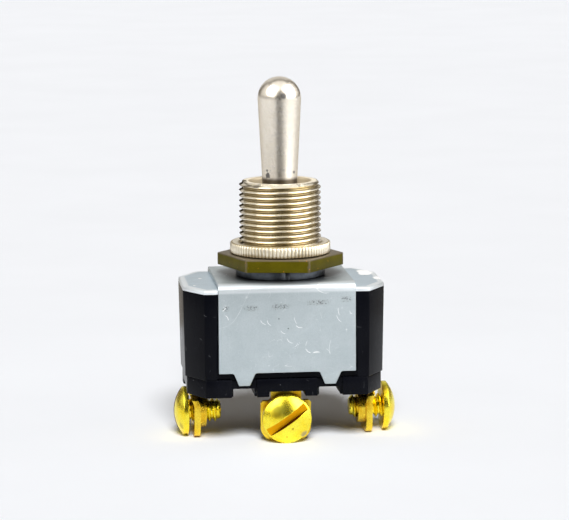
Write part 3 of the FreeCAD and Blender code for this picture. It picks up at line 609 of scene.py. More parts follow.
@dataclass(frozen=True)
class Chromate(Finish):
    """Dull olive plating with grey-brown edges, rubbed and with a painted highlight, and small orange
    specks.
    """

    tone: Colour = (0.105, 0.088, 0.001)
    shade: Colour = (0.075, 0.062, 0.001)
    edge: Colour = (0.150, 0.120, 0.080)
    high: float = 26.69
    corner: float = 9.0

    def build(self, tree: Tree) -> None:
        """Lightens the corners and rims, as wear and painted highlight, and scatters specks over the flats.
        """
        cloud = tree.noise(0.35, 5.0)
        grain = tree.noise(7.0, 3.0, shift=4.0)
        ragged = (tree.noise(1.2, 4.0, shift=6.0) - 0.5) * 0.25
        # Grey-brown corners and top rim: rubbed plating and painted highlight.
        rim = (tree.axis("Z") + ragged * 0.5).step(self.high - 0.22, self.high - 0.08)
        edge_highlight = (tree.reach() + ragged).step(self.corner, self.corner + 0.15)
        wear_and_highlight = rim.math("MAXIMUM", edge_highlight * 0.7)
        orange = tree.specks(2.2, size=0.17, chance=0.32)
        dark = tree.specks(1.2, size=0.10, chance=0.08)
        tree.colour = self.tone
        tree.coat(cloud.step(0.3, 0.7), self.shade)
        tree.coat((grain - 0.5) * 0.6, (0.20, 0.165, 0.003))
        tree.coat(wear_and_highlight * 0.9, self.edge)
        tree.coat(orange * 0.85, (0.62, 0.26, 0.02))
        tree.coat(dark * 0.8, (0.03, 0.025, 0.01))
        rough = (grain - 0.5) * 0.15 + 0.44 - wear_and_highlight * 0.08
        tree.dress(Metallic=0.45, Roughness=rough, Specular_IOR_Level=0.12,
                   Normal=tree.bump(grain + cloud, 0.005))


@dataclass(frozen=True)
class Moulding(Finish):
    """Pale nylon of the plunger."""

    tone: Colour = (0.72, 0.68, 0.56)

    def build(self, tree: Tree) -> None:
        """Gives the nylon a cloudy tone and a fine grain."""
        cloud = tree.noise(0.8, 3.0)
        grain = tree.noise(9.0, 2.0)
        tree.colour = self.tone
        tree.coat(cloud, (0.60, 0.55, 0.42))
        tree.dress(Roughness=grain * 0.2 + 0.4, Normal=tree.bump(grain, 0.002))


@dataclass(frozen=True)
class Ground(Finish):
    """Matt paper or card of the studio."""

    tone: Colour = (0.905, 0.93, 0.975)

    def build(self, tree: Tree) -> None:
        """Gives the paper a barely visible mottle."""
        mottle = tree.noise(0.03, 3.0)
        tree.colour = self.tone
        tree.coat(mottle, tuple(0.95 * share for share in self.tone))
        tree.dress(Roughness=0.9, Specular_IOR_Level=0.1)


# Metalwork


def placed(name: str, data: bpy.types.ID) -> bpy.types.Object:
    """A new object of the scene that shows the data."""
    made = bpy.data.objects.new(name, data)
    bpy.context.scene.collection.objects.link(made)
    return made


@dataclass(frozen=True)
class Thread:
    """A thread whose form is (along, out) points, as shares of its pitch and its depth."""

    crest: float
    root: float
    pitch: float
    form: tuple[Point, ...]

    def profile(self, start: float, count: int) -> list[Point]:
        """Half section of several turns from a height upwards."""
        deep = self.crest - self.root
        return [(self.root + deep * out, start + self.pitch * (index + along))
                for index in range(count) for along, out in self.form]


class Blank:
    """A mesh in the making, in millimetres, that becomes one object."""

    def __init__(self) -> None:
        """Starts with an empty mesh."""
        self.mesh = bmesh.new()

    def chain(self, points: list[Point], closed: bool = False) -> list:
        """Vertices and edges through (radius, height) points in the XZ plane."""
        made = [self.mesh.verts.new((radius, 0.0, height)) for radius, height in points]
        pairs = list(zip(made, made[1:]))
        if closed:
            pairs.append((made[-1], made[0]))
        return made + [self.mesh.edges.new(pair) for pair in pairs]

    def sweep(self, points: list[Point], segments: int, climb: float = 0.0, closed: bool = False) -> "Blank":
        """Sweeps a profile once round the Z axis.

        Args:
            points: (radius, height) points; points on the axis make a pole.
            segments: steps of the full turn.
            climb: height gained in the turn.
            closed: joins the last point to the first.

        Returns:
            The blank itself.
        """
        shape = self.chain(points, closed)
        bmesh.ops.spin(self.mesh, geom=shape, cent=(0, 0, 0), axis=(0, 0, 1), dvec=(0, 0, climb / segments),
                       angle=2 * math.pi, steps=segments, use_merge=climb == 0.0, use_duplicate=False)
        return self

    def turn(self, points: list[Point], segments: int = SEGMENTS) -> "Blank":
        """Turns a closed half section about the Z axis."""
        return self.sweep(points, segments, closed=True).clean()

    def wind(self, thread: Thread, start: float, count: int, segments: int) -> "Blank":
        """Winds several turns of a thread about the Z axis; both ends stay open."""
        return self.sweep(thread.profile(start, count), segments, thread.pitch).clean(SEAM_GAP)

    def narrow(self, allowed: Callable[[Vector], float]) -> "Blank":
        """Pulls in what reaches further from the Z axis than is allowed at its place."""
        for vertex in self.mesh.verts:
            reach = math.hypot(vertex.co.x, vertex.co.y)
            most = allowed(vertex.co)
            if reach > most:
                vertex.co.x *= most / reach
                vertex.co.y *= most / reach
        return self

    def clean(self, gap: float = MERGE_GAP) -> "Blank":
        """Merges doubles and points the faces outwards."""
        bmesh.ops.remove_doubles(self.mesh, verts=self.mesh.verts, dist=gap)
        bmesh.ops.dissolve_degenerate(self.mesh, edges=self.mesh.edges, dist=gap * 0.1)
        bmesh.ops.recalc_face_normals(self.mesh, faces=self.mesh.faces)
        return self

    def slice(self, point: Place, normal: Place, close: bool = True) -> "Blank":
        """Removes what lies on the normal's side of a plane and closes the cut."""
        geometry = self.mesh.verts[:] + self.mesh.edges[:] + self.mesh.faces[:]
        cut = bmesh.ops.bisect_plane(self.mesh, geom=geometry, dist=PLANE_GAP, plane_co=point,
                                     plane_no=normal, clear_outer=True)
        rim = [item for item in cut["geom_cut"] if isinstance(item, bmesh.types.BMEdge)]
        if close and rim:
            bmesh.ops.triangle_fill(self.mesh, use_beauty=True, edges=rim, normal=normal)
            bmesh.ops.recalc_face_normals(self.mesh, faces=self.mesh.faces)
        return self

    def score(self, point: Place, normal: Place, limit: float) -> "Blank":
        """Cuts edges along a plane into the faces that lie beyond a limit in X."""
        faces = [face for face in self.mesh.faces if face.calc_center_median().x < limit]
        edges = {edge for face in faces for edge in face.edges}
        corners = {vertex for face in faces for vertex in face.verts}
        bmesh.ops.bisect_plane(self.mesh, geom=[*corners, *edges, *faces], dist=PLANE_GAP,
                               plane_co=point, plane_no=normal)
        return self

    def cut(self, tool: "Blank") -> "Blank":
        """Takes the volume of another blank, which is used up, out of this one."""
        work, knife = (placed("carrier", blank.data("carrier")) for blank in (self, tool))
        saw = work.modifiers.new("cut", "BOOLEAN")
        saw.operation = "DIFFERENCE"
        saw.solver = "EXACT"
        saw.object = knife
        graph = bpy.context.evaluated_depsgraph_get()
        made = bpy.data.meshes.new_from_object(work.evaluated_get(graph))
        self.mesh = bmesh.new()
        self.mesh.from_mesh(made)
        for data in (made, work.data, knife.data):
            bpy.data.meshes.remove(data)
        return self

    def box(self, low: Place, high: Place) -> "Blank":
        """A box between two corners."""
        size = Vector(high) - Vector(low)
        middle = (Vector(high) + Vector(low)) / 2
        place = Matrix.Translation(middle) @ Matrix.Diagonal((*size, 1.0))
        bmesh.ops.create_cube(self.mesh, size=1.0, matrix=place)
        return self

    def bridge(self, fewest: int = 21) -> "Blank":
        """Joins the open rims at one height by a ring of faces, for heights with enough edges."""
        rims: dict[float, list] = {}
        for edge in self.mesh.edges:
            if edge.is_boundary:
                height = (edge.verts[0].co.z + edge.verts[1].co.z) / 2
                rims.setdefault(round(height, 2), []).append(edge)
        for edges in rims.values():
            if len(edges) >= fewest:
                bmesh.ops.bridge_loops(self.mesh, edges=edges)
        return self.close()

    def close(self) -> "Blank":
        """Fills what is still open and points the faces outwards."""
        rims = [edge for edge in self.mesh.edges if edge.is_boundary]
        bmesh.ops.holes_fill(self.mesh, edges=rims, sides=0)
        bmesh.ops.recalc_face_normals(self.mesh, faces=self.mesh.faces)
        if self.mesh.calc_volume(signed=True) < 0:
            bmesh.ops.reverse_faces(self.mesh, faces=self.mesh.faces)
        return self

    def soften(self, width: float, angle: float = 30.0, segments: int = 2) -> "Blank":
        """Rounds every edge whose faces meet at more than an angle, in degrees."""
        sharp = [edge for edge in self.mesh.edges
                 if edge.is_manifold and edge.calc_face_angle(0.0) > math.radians(angle)]
        bmesh.ops.bevel(self.mesh, geom=sharp, offset=width, offset_type="OFFSET", segments=segments,
                        profile=0.5, affect="EDGES", material=-1, clamp_overlap=True)
        return self

    def join(self, other: "Blank") -> "Blank":
        """Takes in the mesh of another blank, which is used up."""
        carrier = other.data("carrier")
        self.mesh.from_mesh(carrier)
        bpy.data.meshes.remove(carrier)
        return self

    def move(self, matrix: Matrix) -> "Blank":
        """Moves, turns or scales the mesh."""
        bmesh.ops.transform(self.mesh, matrix=matrix, verts=self.mesh.verts)
        return self

    def data(self, name: str) -> bpy.types.Mesh:
        """The mesh as an object's data; the blank is used up."""
        made = bpy.data.meshes.new(name)
        self.mesh.to_mesh(made)
        self.mesh.free()
        return made

    def piece(self, name: str, finish: Finish) -> bpy.types.Object:
        """The object in metres with its finish; the blank is used up."""
        data = self.move(Matrix.Scale(MM, 4)).data(name)
        data.materials.append(finish.material())
        return placed(name, data)

    def deliver(self, name: str, body: str, finish: Finish, slot: str, node: str, crease: float) -> None:
        """Makes the object, in metres, attaches it to its body and hides the solid that it stands for.

        Args:
            name: the piece's name.
            body: the body that it rides on.
            finish: its finish.
            slot: not used.
            node: the solid that it stands for.
            crease: edges sharper than this, in degrees, stay sharp.
        """
        piece = self.piece(name, finish)
        data = piece.data
        data.polygons.foreach_set("use_smooth", [True] * len(data.polygons))
        data.set_sharp_from_angle(angle=math.radians(crease))
        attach(piece, body)
        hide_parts(node)
        LOG.info("%s: %d faces", name, len(data.polygons))


def arc(centre: Point, radius: float, start: float, end: float, steps: int) -> list[Point]:
    """Points on an arc of a half section; angles in degrees from the radial direction."""
    points = []
    for index in range(steps + 1):
        angle = math.radians(start + (end - start) * index / steps)
        points.append((centre[0] + radius * math.cos(angle), centre[1] + radius * math.sin(angle)))
    return points


def eased(points: list[Point], radius: float, steps: int, most: float = 0.45) -> list[Point]:
    """Rounds the corners of a closed half section, except those on the axis.

    Args:
        points: its (radius, height) points.
        radius: the radius of the rounding.
        steps: parts of each rounding.
        most: share of a side that a rounding may take.

    Returns:
        The new points.
    """
    made = []
    for index, point in enumerate(points):
        here = Vector(point)
        before = Vector(points[index - 1]) - here
        after = Vector(points[(index + 1) % len(points)]) - here
        bend = before.angle(after, math.pi)
        if here.x < PLANE_GAP or bend > STRAIGHT_BEND:
            made.append(point)
            continue
        room = min(radius / math.tan(bend / 2), before.length * most, after.length * most)
        first = here + before.normalized() * room
        last = here + after.normalized() * room
        for step in range(steps + 1):
            share = step / steps
            spot = first * (1 - share) ** 2 + here * 2 * share * (1 - share) + last * share ** 2
            made.append((spot.x, spot.y))
    return made


def copied(node: str) -> Blank:
    """The merged mesh of a solid, in millimetres, with flat faces in one piece."""
    blank = Blank()
    blank.mesh.from_mesh(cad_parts[node].data)
    blank.move(Matrix.Scale(1 / MM, 4))
    bmesh.ops.remove_doubles(blank.mesh, verts=blank.mesh.verts, dist=MERGE_GAP)
    bmesh.ops.dissolve_limit(blank.mesh, angle_limit=math.radians(0.5), verts=blank.mesh.verts,
                             edges=blank.mesh.edges, use_dissolve_boundaries=False)
    return blank


# Sub-assemblies


@dataclass
class Lever:
    """Turned bat lever with its pivot boss and inner arm."""

    pivot: float = 29.7
    neck: float = 2.25
    bat: float = 3.14
    tip: float = 52.34
    boss: float = 3.1
    boss_half: float = 1.8
    arm: float = 1.95
    arm_low: float = 18.5
    bore: float = 1.25
    bore_top: float = 26.3
    finish: Finish = Plating(
        "satin_nickel", (0.95, 0.88, 0.76), (0.91, 0.84, 0.71), rough=0.25, grain=0.0006, fineness=7.0,
        stretch=(1, 1, 2.5), pits=0.015, foot=37.75, nicks_and_dark_reflection=(
            Spot((-2.0, -1.65, 38.9), 0.2, 0.9, 0.25), Spot((-1.96, -1.69, 38.2), 0.45, 0.9, 0.25),
            Spot((-1.3, -2.1, 38.7), 0.16, 0.9, 0.25), Spot((1.9, -1.8, 38.6), 0.22, 0.9, 0.25),
            # A painted dark reflection on the front of the dome.
            Spot((0.25, -3.07, 49.8), 0.66, 0.2, 0.6)))

    def section(self) -> list[Point]:
        """Half section from the bore's end round the outside."""
        top = self.pivot + self.boss_half
        low = self.pivot - self.boss_half
        dome = arc((0.0, self.tip - self.bat), self.bat, 90, 0, 20)
        return [(0.0, self.bore_top), *[(max(radius, 0.0), height) for radius, height in dome],
                (self.neck, top), (self.boss, top), (self.boss, low), (self.arm, low),
                (self.arm, self.arm_low), (self.bore, self.arm_low), (self.bore, self.bore_top)]

    def make(self) -> None:
        """Turns the lever, with the tip's point put back on the axis."""
        points = eased(self.section(), 0.15, 2)
        points[1] = (0.0, self.tip)
        blank = Blank().turn(points, FINE_SEGMENTS)
        blank.deliver("lever_bat", "lever", self.finish, "lever_nickel", "bat_lever", crease=30)


@dataclass
class Bushing:
    """Threaded bushing with a keyway, an open mouth and a flange."""

    thread: Thread = Thread(5.95, 5.47, 0.794, (
        (0.0, 0.0), (0.07, 0.03), (0.15, 0.14), (0.38, 0.86), (0.44, 0.97),
        (0.50, 1.0), (0.56, 0.97), (0.62, 0.86), (0.85, 0.14), (0.93, 0.03)))
    low: float = 24.0
    top: float = 37.26
    rim: float = 5.4
    mouth: float = 4.45
    mouth_low: float = 34.0
    bore: float = 3.68
    flare: float = 4.25
    flare_high: float = 24.6
    keyway: float = 5.06
    keyway_half: float = 0.9
    keyway_side: float = -5.0
    spigot: float = 5.62
    flange: float = 7.0
    floor: float = 22.15
    sheet_low: float = 22.75
    finish: Finish = Plating(
        "bright_nickel", (0.97, 0.90, 0.74), (0.90, 0.81, 0.62), rough=0.16, grain=0.0012, pits=0.01,
        valley_tarnish_and_shade=ValleyTarnishAndShade(5.2, 5.56, 5.88, (0.25, 0.175, 0.05), top=36.75), mouth=Mouth(5.3, 35.2, 4.6),
        keyway=KeywayShade(0.9, 4.9))

    def sleeve(self) -> Blank:
        """The threaded part: wound thread, chamfered rim, keyway and bore."""
        start = self.low - 2 * self.thread.pitch
        count = math.ceil((self.top - start) / self.thread.pitch) + 2
        blank = Blank().wind(self.thread, start, count, THREAD_SEGMENTS)
        blank.slice((0, 0, self.top), (0, 0, 1), False).slice((0, 0, self.low), (0, 0, -1), False)
        blank.narrow(lambda place: self.rim + self.top - place.z)
        inner = [(self.flare, self.low), (self.bore, self.flare_high), (self.bore, self.mouth_low),
                 (self.mouth, self.mouth_low), (self.mouth, self.top - 0.35),
                 (self.mouth + 0.06, self.top - 0.09), (self.mouth + 0.15, self.top)]
        blank.join(Blank().sweep(inner, THREAD_SEGMENTS)).bridge()
        for wall in (self.keyway_half - 0.02, self.keyway_half):
            for side in (wall, -wall):
                blank.score((0, side, 0), (0, 1, 0), self.keyway_side)
        for vertex in blank.mesh.verts:
            if abs(vertex.co.y) < self.keyway_half - 0.01 and vertex.co.x < -self.keyway:
                vertex.co.x = -self.keyway
        return blank

    def make(self) -> None:
        """Joins the sleeve and the flanged foot."""
        foot = [(self.flare, self.floor), (self.flange, self.floor), (self.flange, self.sheet_low),
                (self.spigot, self.sheet_low), (self.spigot, self.low), (self.flare, self.low)]
        blank = self.sleeve().join(Blank().turn(eased(foot, 0.06, 2)))
        blank.deliver("bushing_thread", "housing", self.finish, "bushing_nickel", "threaded_bushing",
                      crease=50)


@dataclass
class Nuts:
    """Hexagon nut, knurled ring nut and the washer under them."""

    bore: float = 6.0
    hex_low: float = 24.89
    hex_high: float = 26.69
    flats: float = 15.9
    turned: float = -9.0
    ring_low: float = 26.83
    ring_high: float = 28.36
    ring: float = 7.3
    knurls: int = 84
    knurl_deep: float = 0.19
    knurl_room: float = 0.12
    washer: float = 6.5
    washer_low: float = 23.5
    notch_front: float = -5.6
    notch_left: float = -0.15
    notch_right: float = 0.62
    notch_deep: float = 0.45
    notch_high: float = 0.5
    hex_finish: Finish = Chromate("olive_plating")
    ring_finish: Finish = Plating(
        "champagne_nickel", (1.0, 0.93, 0.77), (0.95, 0.87, 0.69), rough=0.34, fineness=5.0, pits=0.02,
        valley_tarnish_and_shade=ValleyTarnishAndShade(7.0, 7.09, 7.24, (0.42, 0.33, 0.17)))
    # The washer's dark tones are painted shade under the hex nut.
    washer_finish: Finish = Plating(
        "steel_in_painted_shade", (0.10, 0.11, 0.125), (0.055, 0.062, 0.07), rough=0.30, grain=0.003, fineness=5.0,
        pits=0.10)

    def hexagon(self) -> None:
        """Extrudes the six-sided plate round its hole and rounds its edges."""
        blank = Blank()
        corner = self.flats / math.sqrt(3)
        outer = bmesh.ops.create_circle(blank.mesh, segments=6, radius=corner, cap_ends=False)["verts"]
        bmesh.ops.rotate(blank.mesh, verts=outer, cent=(0, 0, 0),
                         matrix=Matrix.Rotation(math.radians(self.turned + 30), 3, "Z"))
        edges = list({edge for vertex in outer for edge in vertex.link_edges})
        bmesh.ops.subdivide_edges(blank.mesh, edges=edges, cuts=15)
        bmesh.ops.create_circle(blank.mesh, segments=SEGMENTS, radius=self.bore, cap_ends=False)
        made = bmesh.ops.bridge_loops(blank.mesh, edges=blank.mesh.edges[:])["faces"]
        bmesh.ops.translate(blank.mesh, verts=blank.mesh.verts, vec=(0, 0, self.hex_low))
        lifted = bmesh.ops.extrude_face_region(blank.mesh, geom=made, use_keep_orig=True)["geom"]
        raised = [item for item in lifted if isinstance(item, bmesh.types.BMVert)]
        bmesh.ops.translate(blank.mesh, verts=raised, vec=(0, 0, self.hex_high - self.hex_low))
        blank.clean().soften(0.11, 40.0, 2)
        blank.deliver("nut_hexagon", "hex_nut", self.hex_finish, "hex_brass", "hex_nut", crease=50)

    def valley(self, place: Vector) -> float:
        """Reach of the knurled rim at a place's angle; points inside the rim keep theirs."""
        reach = math.hypot(place.x, place.y)
        if reach <= self.ring - self.knurl_room:
            return reach
        return reach - self.knurl_deep * 0.5 * (1 - math.cos(math.atan2(place.y, place.x) * self.knurls))

    def knurled(self) -> None:
        """Turns the ring with four steps for each knurl and sinks the valleys."""
        low, high, ring = self.ring_low, self.ring_high, self.ring
        section = [(self.bore, low + 0.2), (self.bore + 0.2, low), (ring - 0.25, low),
                   (ring - 0.05, low + 0.03), (ring, low + 0.10), (ring, high - 0.22),
                   (ring - 0.08, high - 0.06), (ring - 0.25, high), (self.bore + 0.2, high),
                   (self.bore, high - 0.2)]
        blank = Blank().turn(section, self.knurls * 4).narrow(self.valley)
        blank.deliver("nut_knurled", "knurled_nut", self.ring_finish, "knurled_nickel", "knurled_nut",
                      crease=70)

    def plain_washer(self) -> None:
        """Turns the washer with a small notch in its front edge."""
        low, high = self.washer_low, self.hex_low
        section = [(self.bore, low), (self.washer, low), (self.washer, high), (self.bore, high)]
        blank = Blank().turn(eased(section, 0.14, 3), FINE_SEGMENTS)
        for vertex in blank.mesh.verts:
            front = vertex.co.y < self.notch_front and vertex.co.z > high - self.notch_high
            if front and self.notch_left < vertex.co.x < self.notch_right:
                vertex.co.y += self.notch_deep
        blank.deliver("washer_ring", "housing", self.washer_finish, "washer_steel", "lock_washer", crease=40)

    def make(self) -> None:
        """Makes the three rings."""
        self.hexagon()
        self.knurled()
        self.plain_washer()


@dataclass
class Shell:
    """Frame, cover plate, case and terminal base, taken from their solids with softened edges."""

    frame_finish: Finish = Sheet(
        "satin_zinc", (0.48, 0.54, 0.56), (0.44, 0.50, 0.52),
        shadow=Shadow(7.0, 10.6, 23.1, 0.9), crease=BendHighlight(22.25, 23.6, -7.3),
        ticks=(Tick((-3.0, 18.6), 0.9, 230, 38, 0.05), Tick((-2.1, 18.3), 0.8, 215, 42, 0.05),
               Tick((-0.3, 17.0), 0.7, 235, 40, 0.05), Tick((1.9, 17.9), 0.8, 250, 42, 0.06),
               Tick((2.4, 18.6), 1.4, 200, 24, 0.04), Tick((0.8, 15.8), 0.9, 230, 44, 0.05),
               Tick((8.3, 18.9), 1.2, 215, 34, 0.05), Tick((8.9, 19.6), 1.6, 190, 22, 0.05),
               Tick((9.4, 13.9), 3.4, 175, 20, 0.03), Tick((-9.2, 18.5), 0.7, 30, 40, 0.07),
               Tick((-9.4, 20.3), 0.5, 320, 46, 0.08), Tick((5.2, 13.0), 1.0, 40, 34, 0.03)),
        smudges=(Spot((-8.8, -9.1, 20.1), 0.6, soft=0.6), Spot((-5.1, -9.1, 20.1), 1.3, soft=0.6),
                 Spot((-1.0, -9.1, 20.2), 1.5, soft=0.6), Spot((4.4, -9.1, 20.7), 2.0, soft=0.6),
                 Spot((8.5, -9.1, 21.1), 1.1, soft=0.6)))
    cover_finish: Finish = Sheet(
        "cover_satin", (0.56, 0.67, 0.75), (0.51, 0.61, 0.68), scratches=0.7, wear_and_highlight=(0.94, 0.97, 0.98),
        crease=BendHighlight(21.8, 22.68, 9.0), rim_highlight=RimHighlight(14.2, 8.43, 0.85, 0.527, 14.38),
        # The spots at X 12.8 to 14.3 are painted glints on the right lobe.
        chips_and_glints=(Spot((12.8, 2.6, 22.75), 1.0), Spot((13.0, 3.9, 22.75), 1.2), Spot((12.8, 5.2, 22.75), 1.0),
               Spot((14.2, -1.6, 22.75), 0.7), Spot((14.3, -0.6, 22.75), 0.8),
               Spot((-12.9, -4.2, 22.75), 0.25), Spot((-11.6, 2.0, 22.75), 0.3)))
    case_finish: Finish = Phenolic("black_phenolic")

    def make(self) -> None:
        """Softens each shell's edges and dresses it."""
        plan = (
            ("mounting_frame", "frame_sheet", self.frame_finish, "frame_zinc", 0.07, 35.0),
            ("cover_plate", "cover_sheet", self.cover_finish, "cover_zinc", 0.06, 35.0),
            ("case", "case_moulding", self.case_finish, "case_phenolic", 0.12, 30.0),
            ("terminal_base", "base_moulding", self.case_finish, "case_phenolic", 0.12, 30.0),
        )
        for node, name, finish, slot, width, angle in plan:
            copied(node).soften(width, angle, 2).deliver(name, "housing", finish, slot, node, crease=35)


class Side(Enum):
    """Where a terminal stands."""

    LEFT = "left"
    COMMON = "common"
    RIGHT = "right"


@dataclass
class Terminal:
    """Brass strip with its slotted screw."""

    side: Side
    plate: float
    backed_out: float
    slot_angle: float
    turned: float
    screw_finish: Finish
    # The strip's dark spots are painted shade: behind the common screw's head, under the case above it, and
    # round the tops of the side screws' heads.
    finish: Finish = Brass("strip_brass", (0.95, 0.70, 0.06), (0.75, 0.42, 0.012), spread=0.45, stains_and_shade=(
        TintedSpot((0.0, -6.2, 4.4), 4.5, (0.03, 0.014, 0.001), 0.92),
        TintedSpot((0.0, -6.0, 9.6), 3.2, (0.10, 0.045, 0.002), 0.9),
        TintedSpot((-12.6, 0.0, 6.6), 1.6, (0.10, 0.045, 0.003), 0.8),
        TintedSpot((12.6, 0.0, 6.6), 1.6, (0.10, 0.045, 0.003), 0.8)))
    strip: float = 0.9
    height: float = 3.58
    head: float = 3.55
    rim: float = 0.75
    high: float = 2.05
    slot_wide: float = 1.15
    slot_deep: float = 1.1
    thread: Thread = Thread(1.75, 1.32, 0.79, (
        (0.0, 0.0), (0.12, 0.05), (0.40, 0.92), (0.50, 1.0), (0.60, 0.92), (0.88, 0.05)))
    end: float = 1.17
    long: float = 4.76

    def crown(self) -> list[Point]:
        """Half section of the head, seated at height 0 and crowned upwards."""
        rise = self.high - self.rim
        ball = (self.head ** 2 + rise ** 2) / (2 * rise)
        lean = math.degrees(math.asin(self.head / ball))
        dome = arc((0.0, self.high - ball), ball, 90, 90 - lean, 14)
        edge = eased([(0.0, 0.0), (self.head, 0.0), (self.head, self.rim), dome[-3]], 0.12, 3)
        return [point for point in edge if point[1] < self.rim + 0.05] + dome[-3:0:-1] + [(0.0, self.high)]

    def shank(self) -> Blank:
        """Threaded shank below the head, with a chamfered end."""
        count = math.ceil(self.long / self.thread.pitch) + 3
        blank = Blank().wind(self.thread, -self.long - 2 * self.thread.pitch, count, SHANK_SEGMENTS)
        blank.slice((0, 0, 0.05), (0, 0, 1)).slice((0, 0, -self.long), (0, 0, -1))
        return blank.narrow(lambda place: self.end + self.long + place.z)

    def screw(self) -> None:
        """Builds the screw upright, then lays it in front of its plate."""
        half = self.slot_wide / 2
        knife = Blank().box((-9.0, -half, self.high - self.slot_deep), (9.0, half, 9.0))
        disc = Blank().turn(self.crown()).cut(knife).soften(0.05, 40.0, 2).join(self.shank())
        seat = self.plate + self.strip / 2 + self.backed_out
        turn = Matrix.Rotation(math.radians(self.turned), 4, "Z")
        lay = Matrix.Rotation(math.radians(90), 4, "X")
        lay = lay @ Matrix.Rotation(math.radians(self.slot_angle), 4, "Z")
        place = turn @ Matrix.Translation((0, -seat, self.height)) @ lay
        disc.move(place)
        normal = place.to_3x3() @ Vector((0, 1, 0))
        if normal.z < 0:
            normal.negate()
        axis = place.to_3x3() @ Vector((0, 0, 1))
        floor = axis.dot(place @ Vector((0, 0, self.high - self.slot_deep)))
        name = self.side.value
        finish = replace(self.screw_finish, name=self.screw_finish.name + "_" + name,
                         slot=SlotShade(tuple(normal), normal.z * self.height, half, tuple(axis), floor))
        disc.deliver("screw_" + name + "_slotted", "screw_" + name, finish, "screw_brass",
                     "terminal_screw_" + name, crease=35)

    def make(self) -> None:
        """Dresses the strip and makes its screw."""
        name = self.side.value
        copied("terminal_" + name).soften(0.09, 35.0, 2).deliver(
            "strip_" + name, "housing", self.finish, "terminal_brass", "terminal_" + name, crease=40)
        self.screw()


@dataclass
class Inside:
    """Pieces of the mechanism that the housing hides."""

    steel: Finish = Plating("ground_steel", (0.55, 0.55, 0.55), (0.42, 0.42, 0.43), 0.25)
    nylon: Finish = Moulding("cream_nylon")
    bronze: Finish = Plating("spring_bronze", (0.72, 0.48, 0.20), (0.55, 0.34, 0.12), 0.30)
    silver: Finish = Plating("bright_silver", (0.88, 0.88, 0.86), (0.70, 0.70, 0.68), 0.22)

    def make(self) -> None:
        """Gives each hidden solid its finish."""
        plan = {
            "pivot_pin": self.steel, "plunger_spring": self.steel, "plunger": self.nylon,
            "contact_rocker": self.bronze, "rocker_post": self.bronze,
            "rocker_contact_left": self.silver, "rocker_contact_right": self.silver,
            "fixed_contact_left": self.silver, "fixed_contact_right": self.silver,
        }
        for node, finish in plan.items():
            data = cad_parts[node].data
            data.materials.clear()
            data.materials.append(finish.material())
            LOG.info("%s dressed", node)


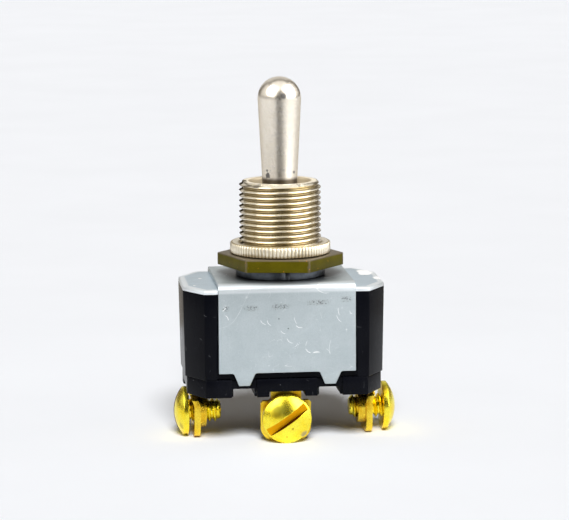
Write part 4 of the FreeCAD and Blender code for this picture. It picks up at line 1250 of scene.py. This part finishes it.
@dataclass
class Studio:
    """Floor, soft lights and the camera at the photograph's angle."""

    target: Place = (0.621, 0.0, 25.514)
    distance: float = 404.0
    azimuth: float = -6.286
    elevation: float = 9.053
    roll: float = -0.337
    lens: float = 175.44
    ambient: float = 0.12
    floor_radius: float = 3000.0
    aim: Place = (0.0, 0.0, 28.0)

    def camera(self) -> None:
        """Places the camera."""
        side, lift = math.radians(self.azimuth), math.radians(self.elevation)
        back = Vector((math.sin(side) * math.cos(lift), -math.cos(side) * math.cos(lift), math.sin(lift)))
        data = bpy.data.cameras.new("camera")
        data.lens = self.lens
        data.sensor_width = 36.0
        data.clip_start = 0.01
        data.clip_end = 20.0
        holder = placed("camera", data)
        holder.location = (Vector(self.target) + back * self.distance) * MM
        lean = Quaternion((0, 0, 1), math.radians(self.roll))
        holder.rotation_euler = ((-back).to_track_quat("-Z", "Y") @ lean).to_euler()
        bpy.context.scene.camera = holder

    def light(self, data: bpy.types.Light, place: Place, energy: float) -> bpy.types.Object:
        """Places a light, in millimetres, that looks at the middle of the switch."""
        data.energy = energy
        holder = placed(data.name, data)
        holder.location = Vector(place) * MM
        holder.rotation_euler = (Vector(self.aim) - Vector(place)).to_track_quat("-Z", "Y").to_euler()
        return holder

    def softbox(self, name: str, place: Place, size: float, radiance: float) -> None:
        """A square light that only reflections show."""
        data = bpy.data.lights.new(name, "AREA")
        data.shape = "SQUARE"
        data.size = size * MM
        self.light(data, place, radiance * math.pi * data.size ** 2).visible_diffuse = False

    def fill(self, place: Place, energy: float, angle: float) -> None:
        """The even light on matt surfaces, which reflections don't show."""
        data = bpy.data.lights.new("light_fill", "SUN")
        data.angle = math.radians(angle)
        self.light(data, place, energy).visible_glossy = False

    def staged(self, name: str, blank: Blank, finish: Finish) -> bpy.types.Object:
        """Puts a piece of the studio in place, which isn't part of the switch."""
        piece = blank.piece(name, finish)
        return piece

    def floor(self) -> None:
        """The round floor."""
        blank = Blank()
        bmesh.ops.create_circle(blank.mesh, cap_ends=True, segments=SEGMENTS, radius=self.floor_radius)
        self.staged("floor", blank, Ground("pale_paper"))

    def card(self, name: str, size: Point, place: Place, tilt: float, tone: float) -> None:
        """A card that only reflections show, turned with the camera's azimuth.

        Args:
            name: its name.
            size: its width and depth.
            place: its middle before it is turned.
            tilt: 0 for a lying card and 90 for an upright one.
            tone: how light it is.
        """
        blank = Blank()
        bmesh.ops.create_grid(blank.mesh, x_segments=1, y_segments=1, size=0.5)
        lean = Matrix.Rotation(math.radians(tilt), 4, "X") @ Matrix.Diagonal((*size, 1.0, 1.0))
        turn = Matrix.Rotation(math.radians(self.azimuth), 4, "Z")
        blank.move(turn @ Matrix.Translation(place) @ lean)
        card = self.staged(name, blank, Ground(name, (tone, tone * 0.93, tone * 0.83)))
        card.visible_camera = False
        card.visible_diffuse = False
        card.visible_shadow = False

    def make(self) -> None:
        """Sets floor, world, lights, cards and camera."""
        self.floor()
        world = bpy.data.worlds.new("studio")
        world.use_nodes = True
        sky = world.node_tree.nodes["Background"]
        sky.inputs["Color"].default_value = (1.0, 0.86, 0.70, 1.0)
        sky.inputs["Strength"].default_value = self.ambient
        bpy.context.scene.world = world
        bpy.context.scene.view_settings.view_transform = "Standard"
        self.softbox("light_left", (-951, -660, 1000), 1400.0, 3.6)
        self.softbox("light_right", (1119, -600, 850), 1600.0, 4.8)
        self.softbox("light_side_left", (-1600, 500, 900), 1500.0, 0.6)
        self.softbox("light_side_right", (1600, 500, 900), 1500.0, 0.6)
        self.softbox("light_top", (0, -300, 2000), 2200.0, 0.8)
        self.softbox("light_sky", (0, 1500, 900), 1600.0, 0.5)
        self.fill((-60, -1400, 1450), 4.0, 22.0)
        self.card("card_floor", (170.0, 330.0), (0, -295, 0.5), 0.0, 0.02)
        self.card("card_camera", (360.0, 300.0), (0, -520, 170), 90.0, 0.02)
        self.card("card_behind", (700.0, 600.0), (0, 380, 0.5), 0.0, 0.5)
        self.camera()


def main() -> None:
    """Builds every sub-assembly in order."""
    logging.basicConfig(level=logging.INFO, format="%(name)s %(message)s")
    olive = (0.16, 0.12, 0.012)
    brown = (0.30, 0.16, 0.015)
    grey = (0.42, 0.36, 0.20)
    common_screw = Brass("screw_brass", stains_and_shade=(
        TintedSpot((-1.5, -8.93, 4.87), 1.35, olive, 0.7), TintedSpot((2.4, -8.21, 1.36), 0.75, grey, 0.85),
        TintedSpot((0.7, -9.11, 2.34), 0.28, brown, 0.6), TintedSpot((-0.13, -8.71, 1.1), 0.17, brown, 0.7)))
    side_screw = Brass("screw_brass", stains_and_shade=(
        TintedSpot((14.6, -2.0, 6.6), 1.1, brown, 0.7), TintedSpot((-14.6, -2.2, 2.0), 0.9, brown, 0.6),
        TintedSpot((-15.0, 1.5, 5.5), 0.8, brown, 0.5)))
    pieces = [
        Lever(), Bushing(), Nuts(), Shell(),
        Terminal(Side.LEFT, 12.6, backed_out=0.7, slot_angle=100.0, turned=-90.0, screw_finish=side_screw),
        Terminal(Side.COMMON, 5.7, backed_out=1.1, slot_angle=35.0, turned=0.0, screw_finish=common_screw),
        Terminal(Side.RIGHT, 12.6, backed_out=1.7, slot_angle=60.0, turned=90.0, screw_finish=side_screw),
        Inside(), Studio(),
    ]
    for piece in pieces:
        piece.make()
        LOG.info("%s done", type(piece).__name__)


if __name__ == "__main__":
    main()
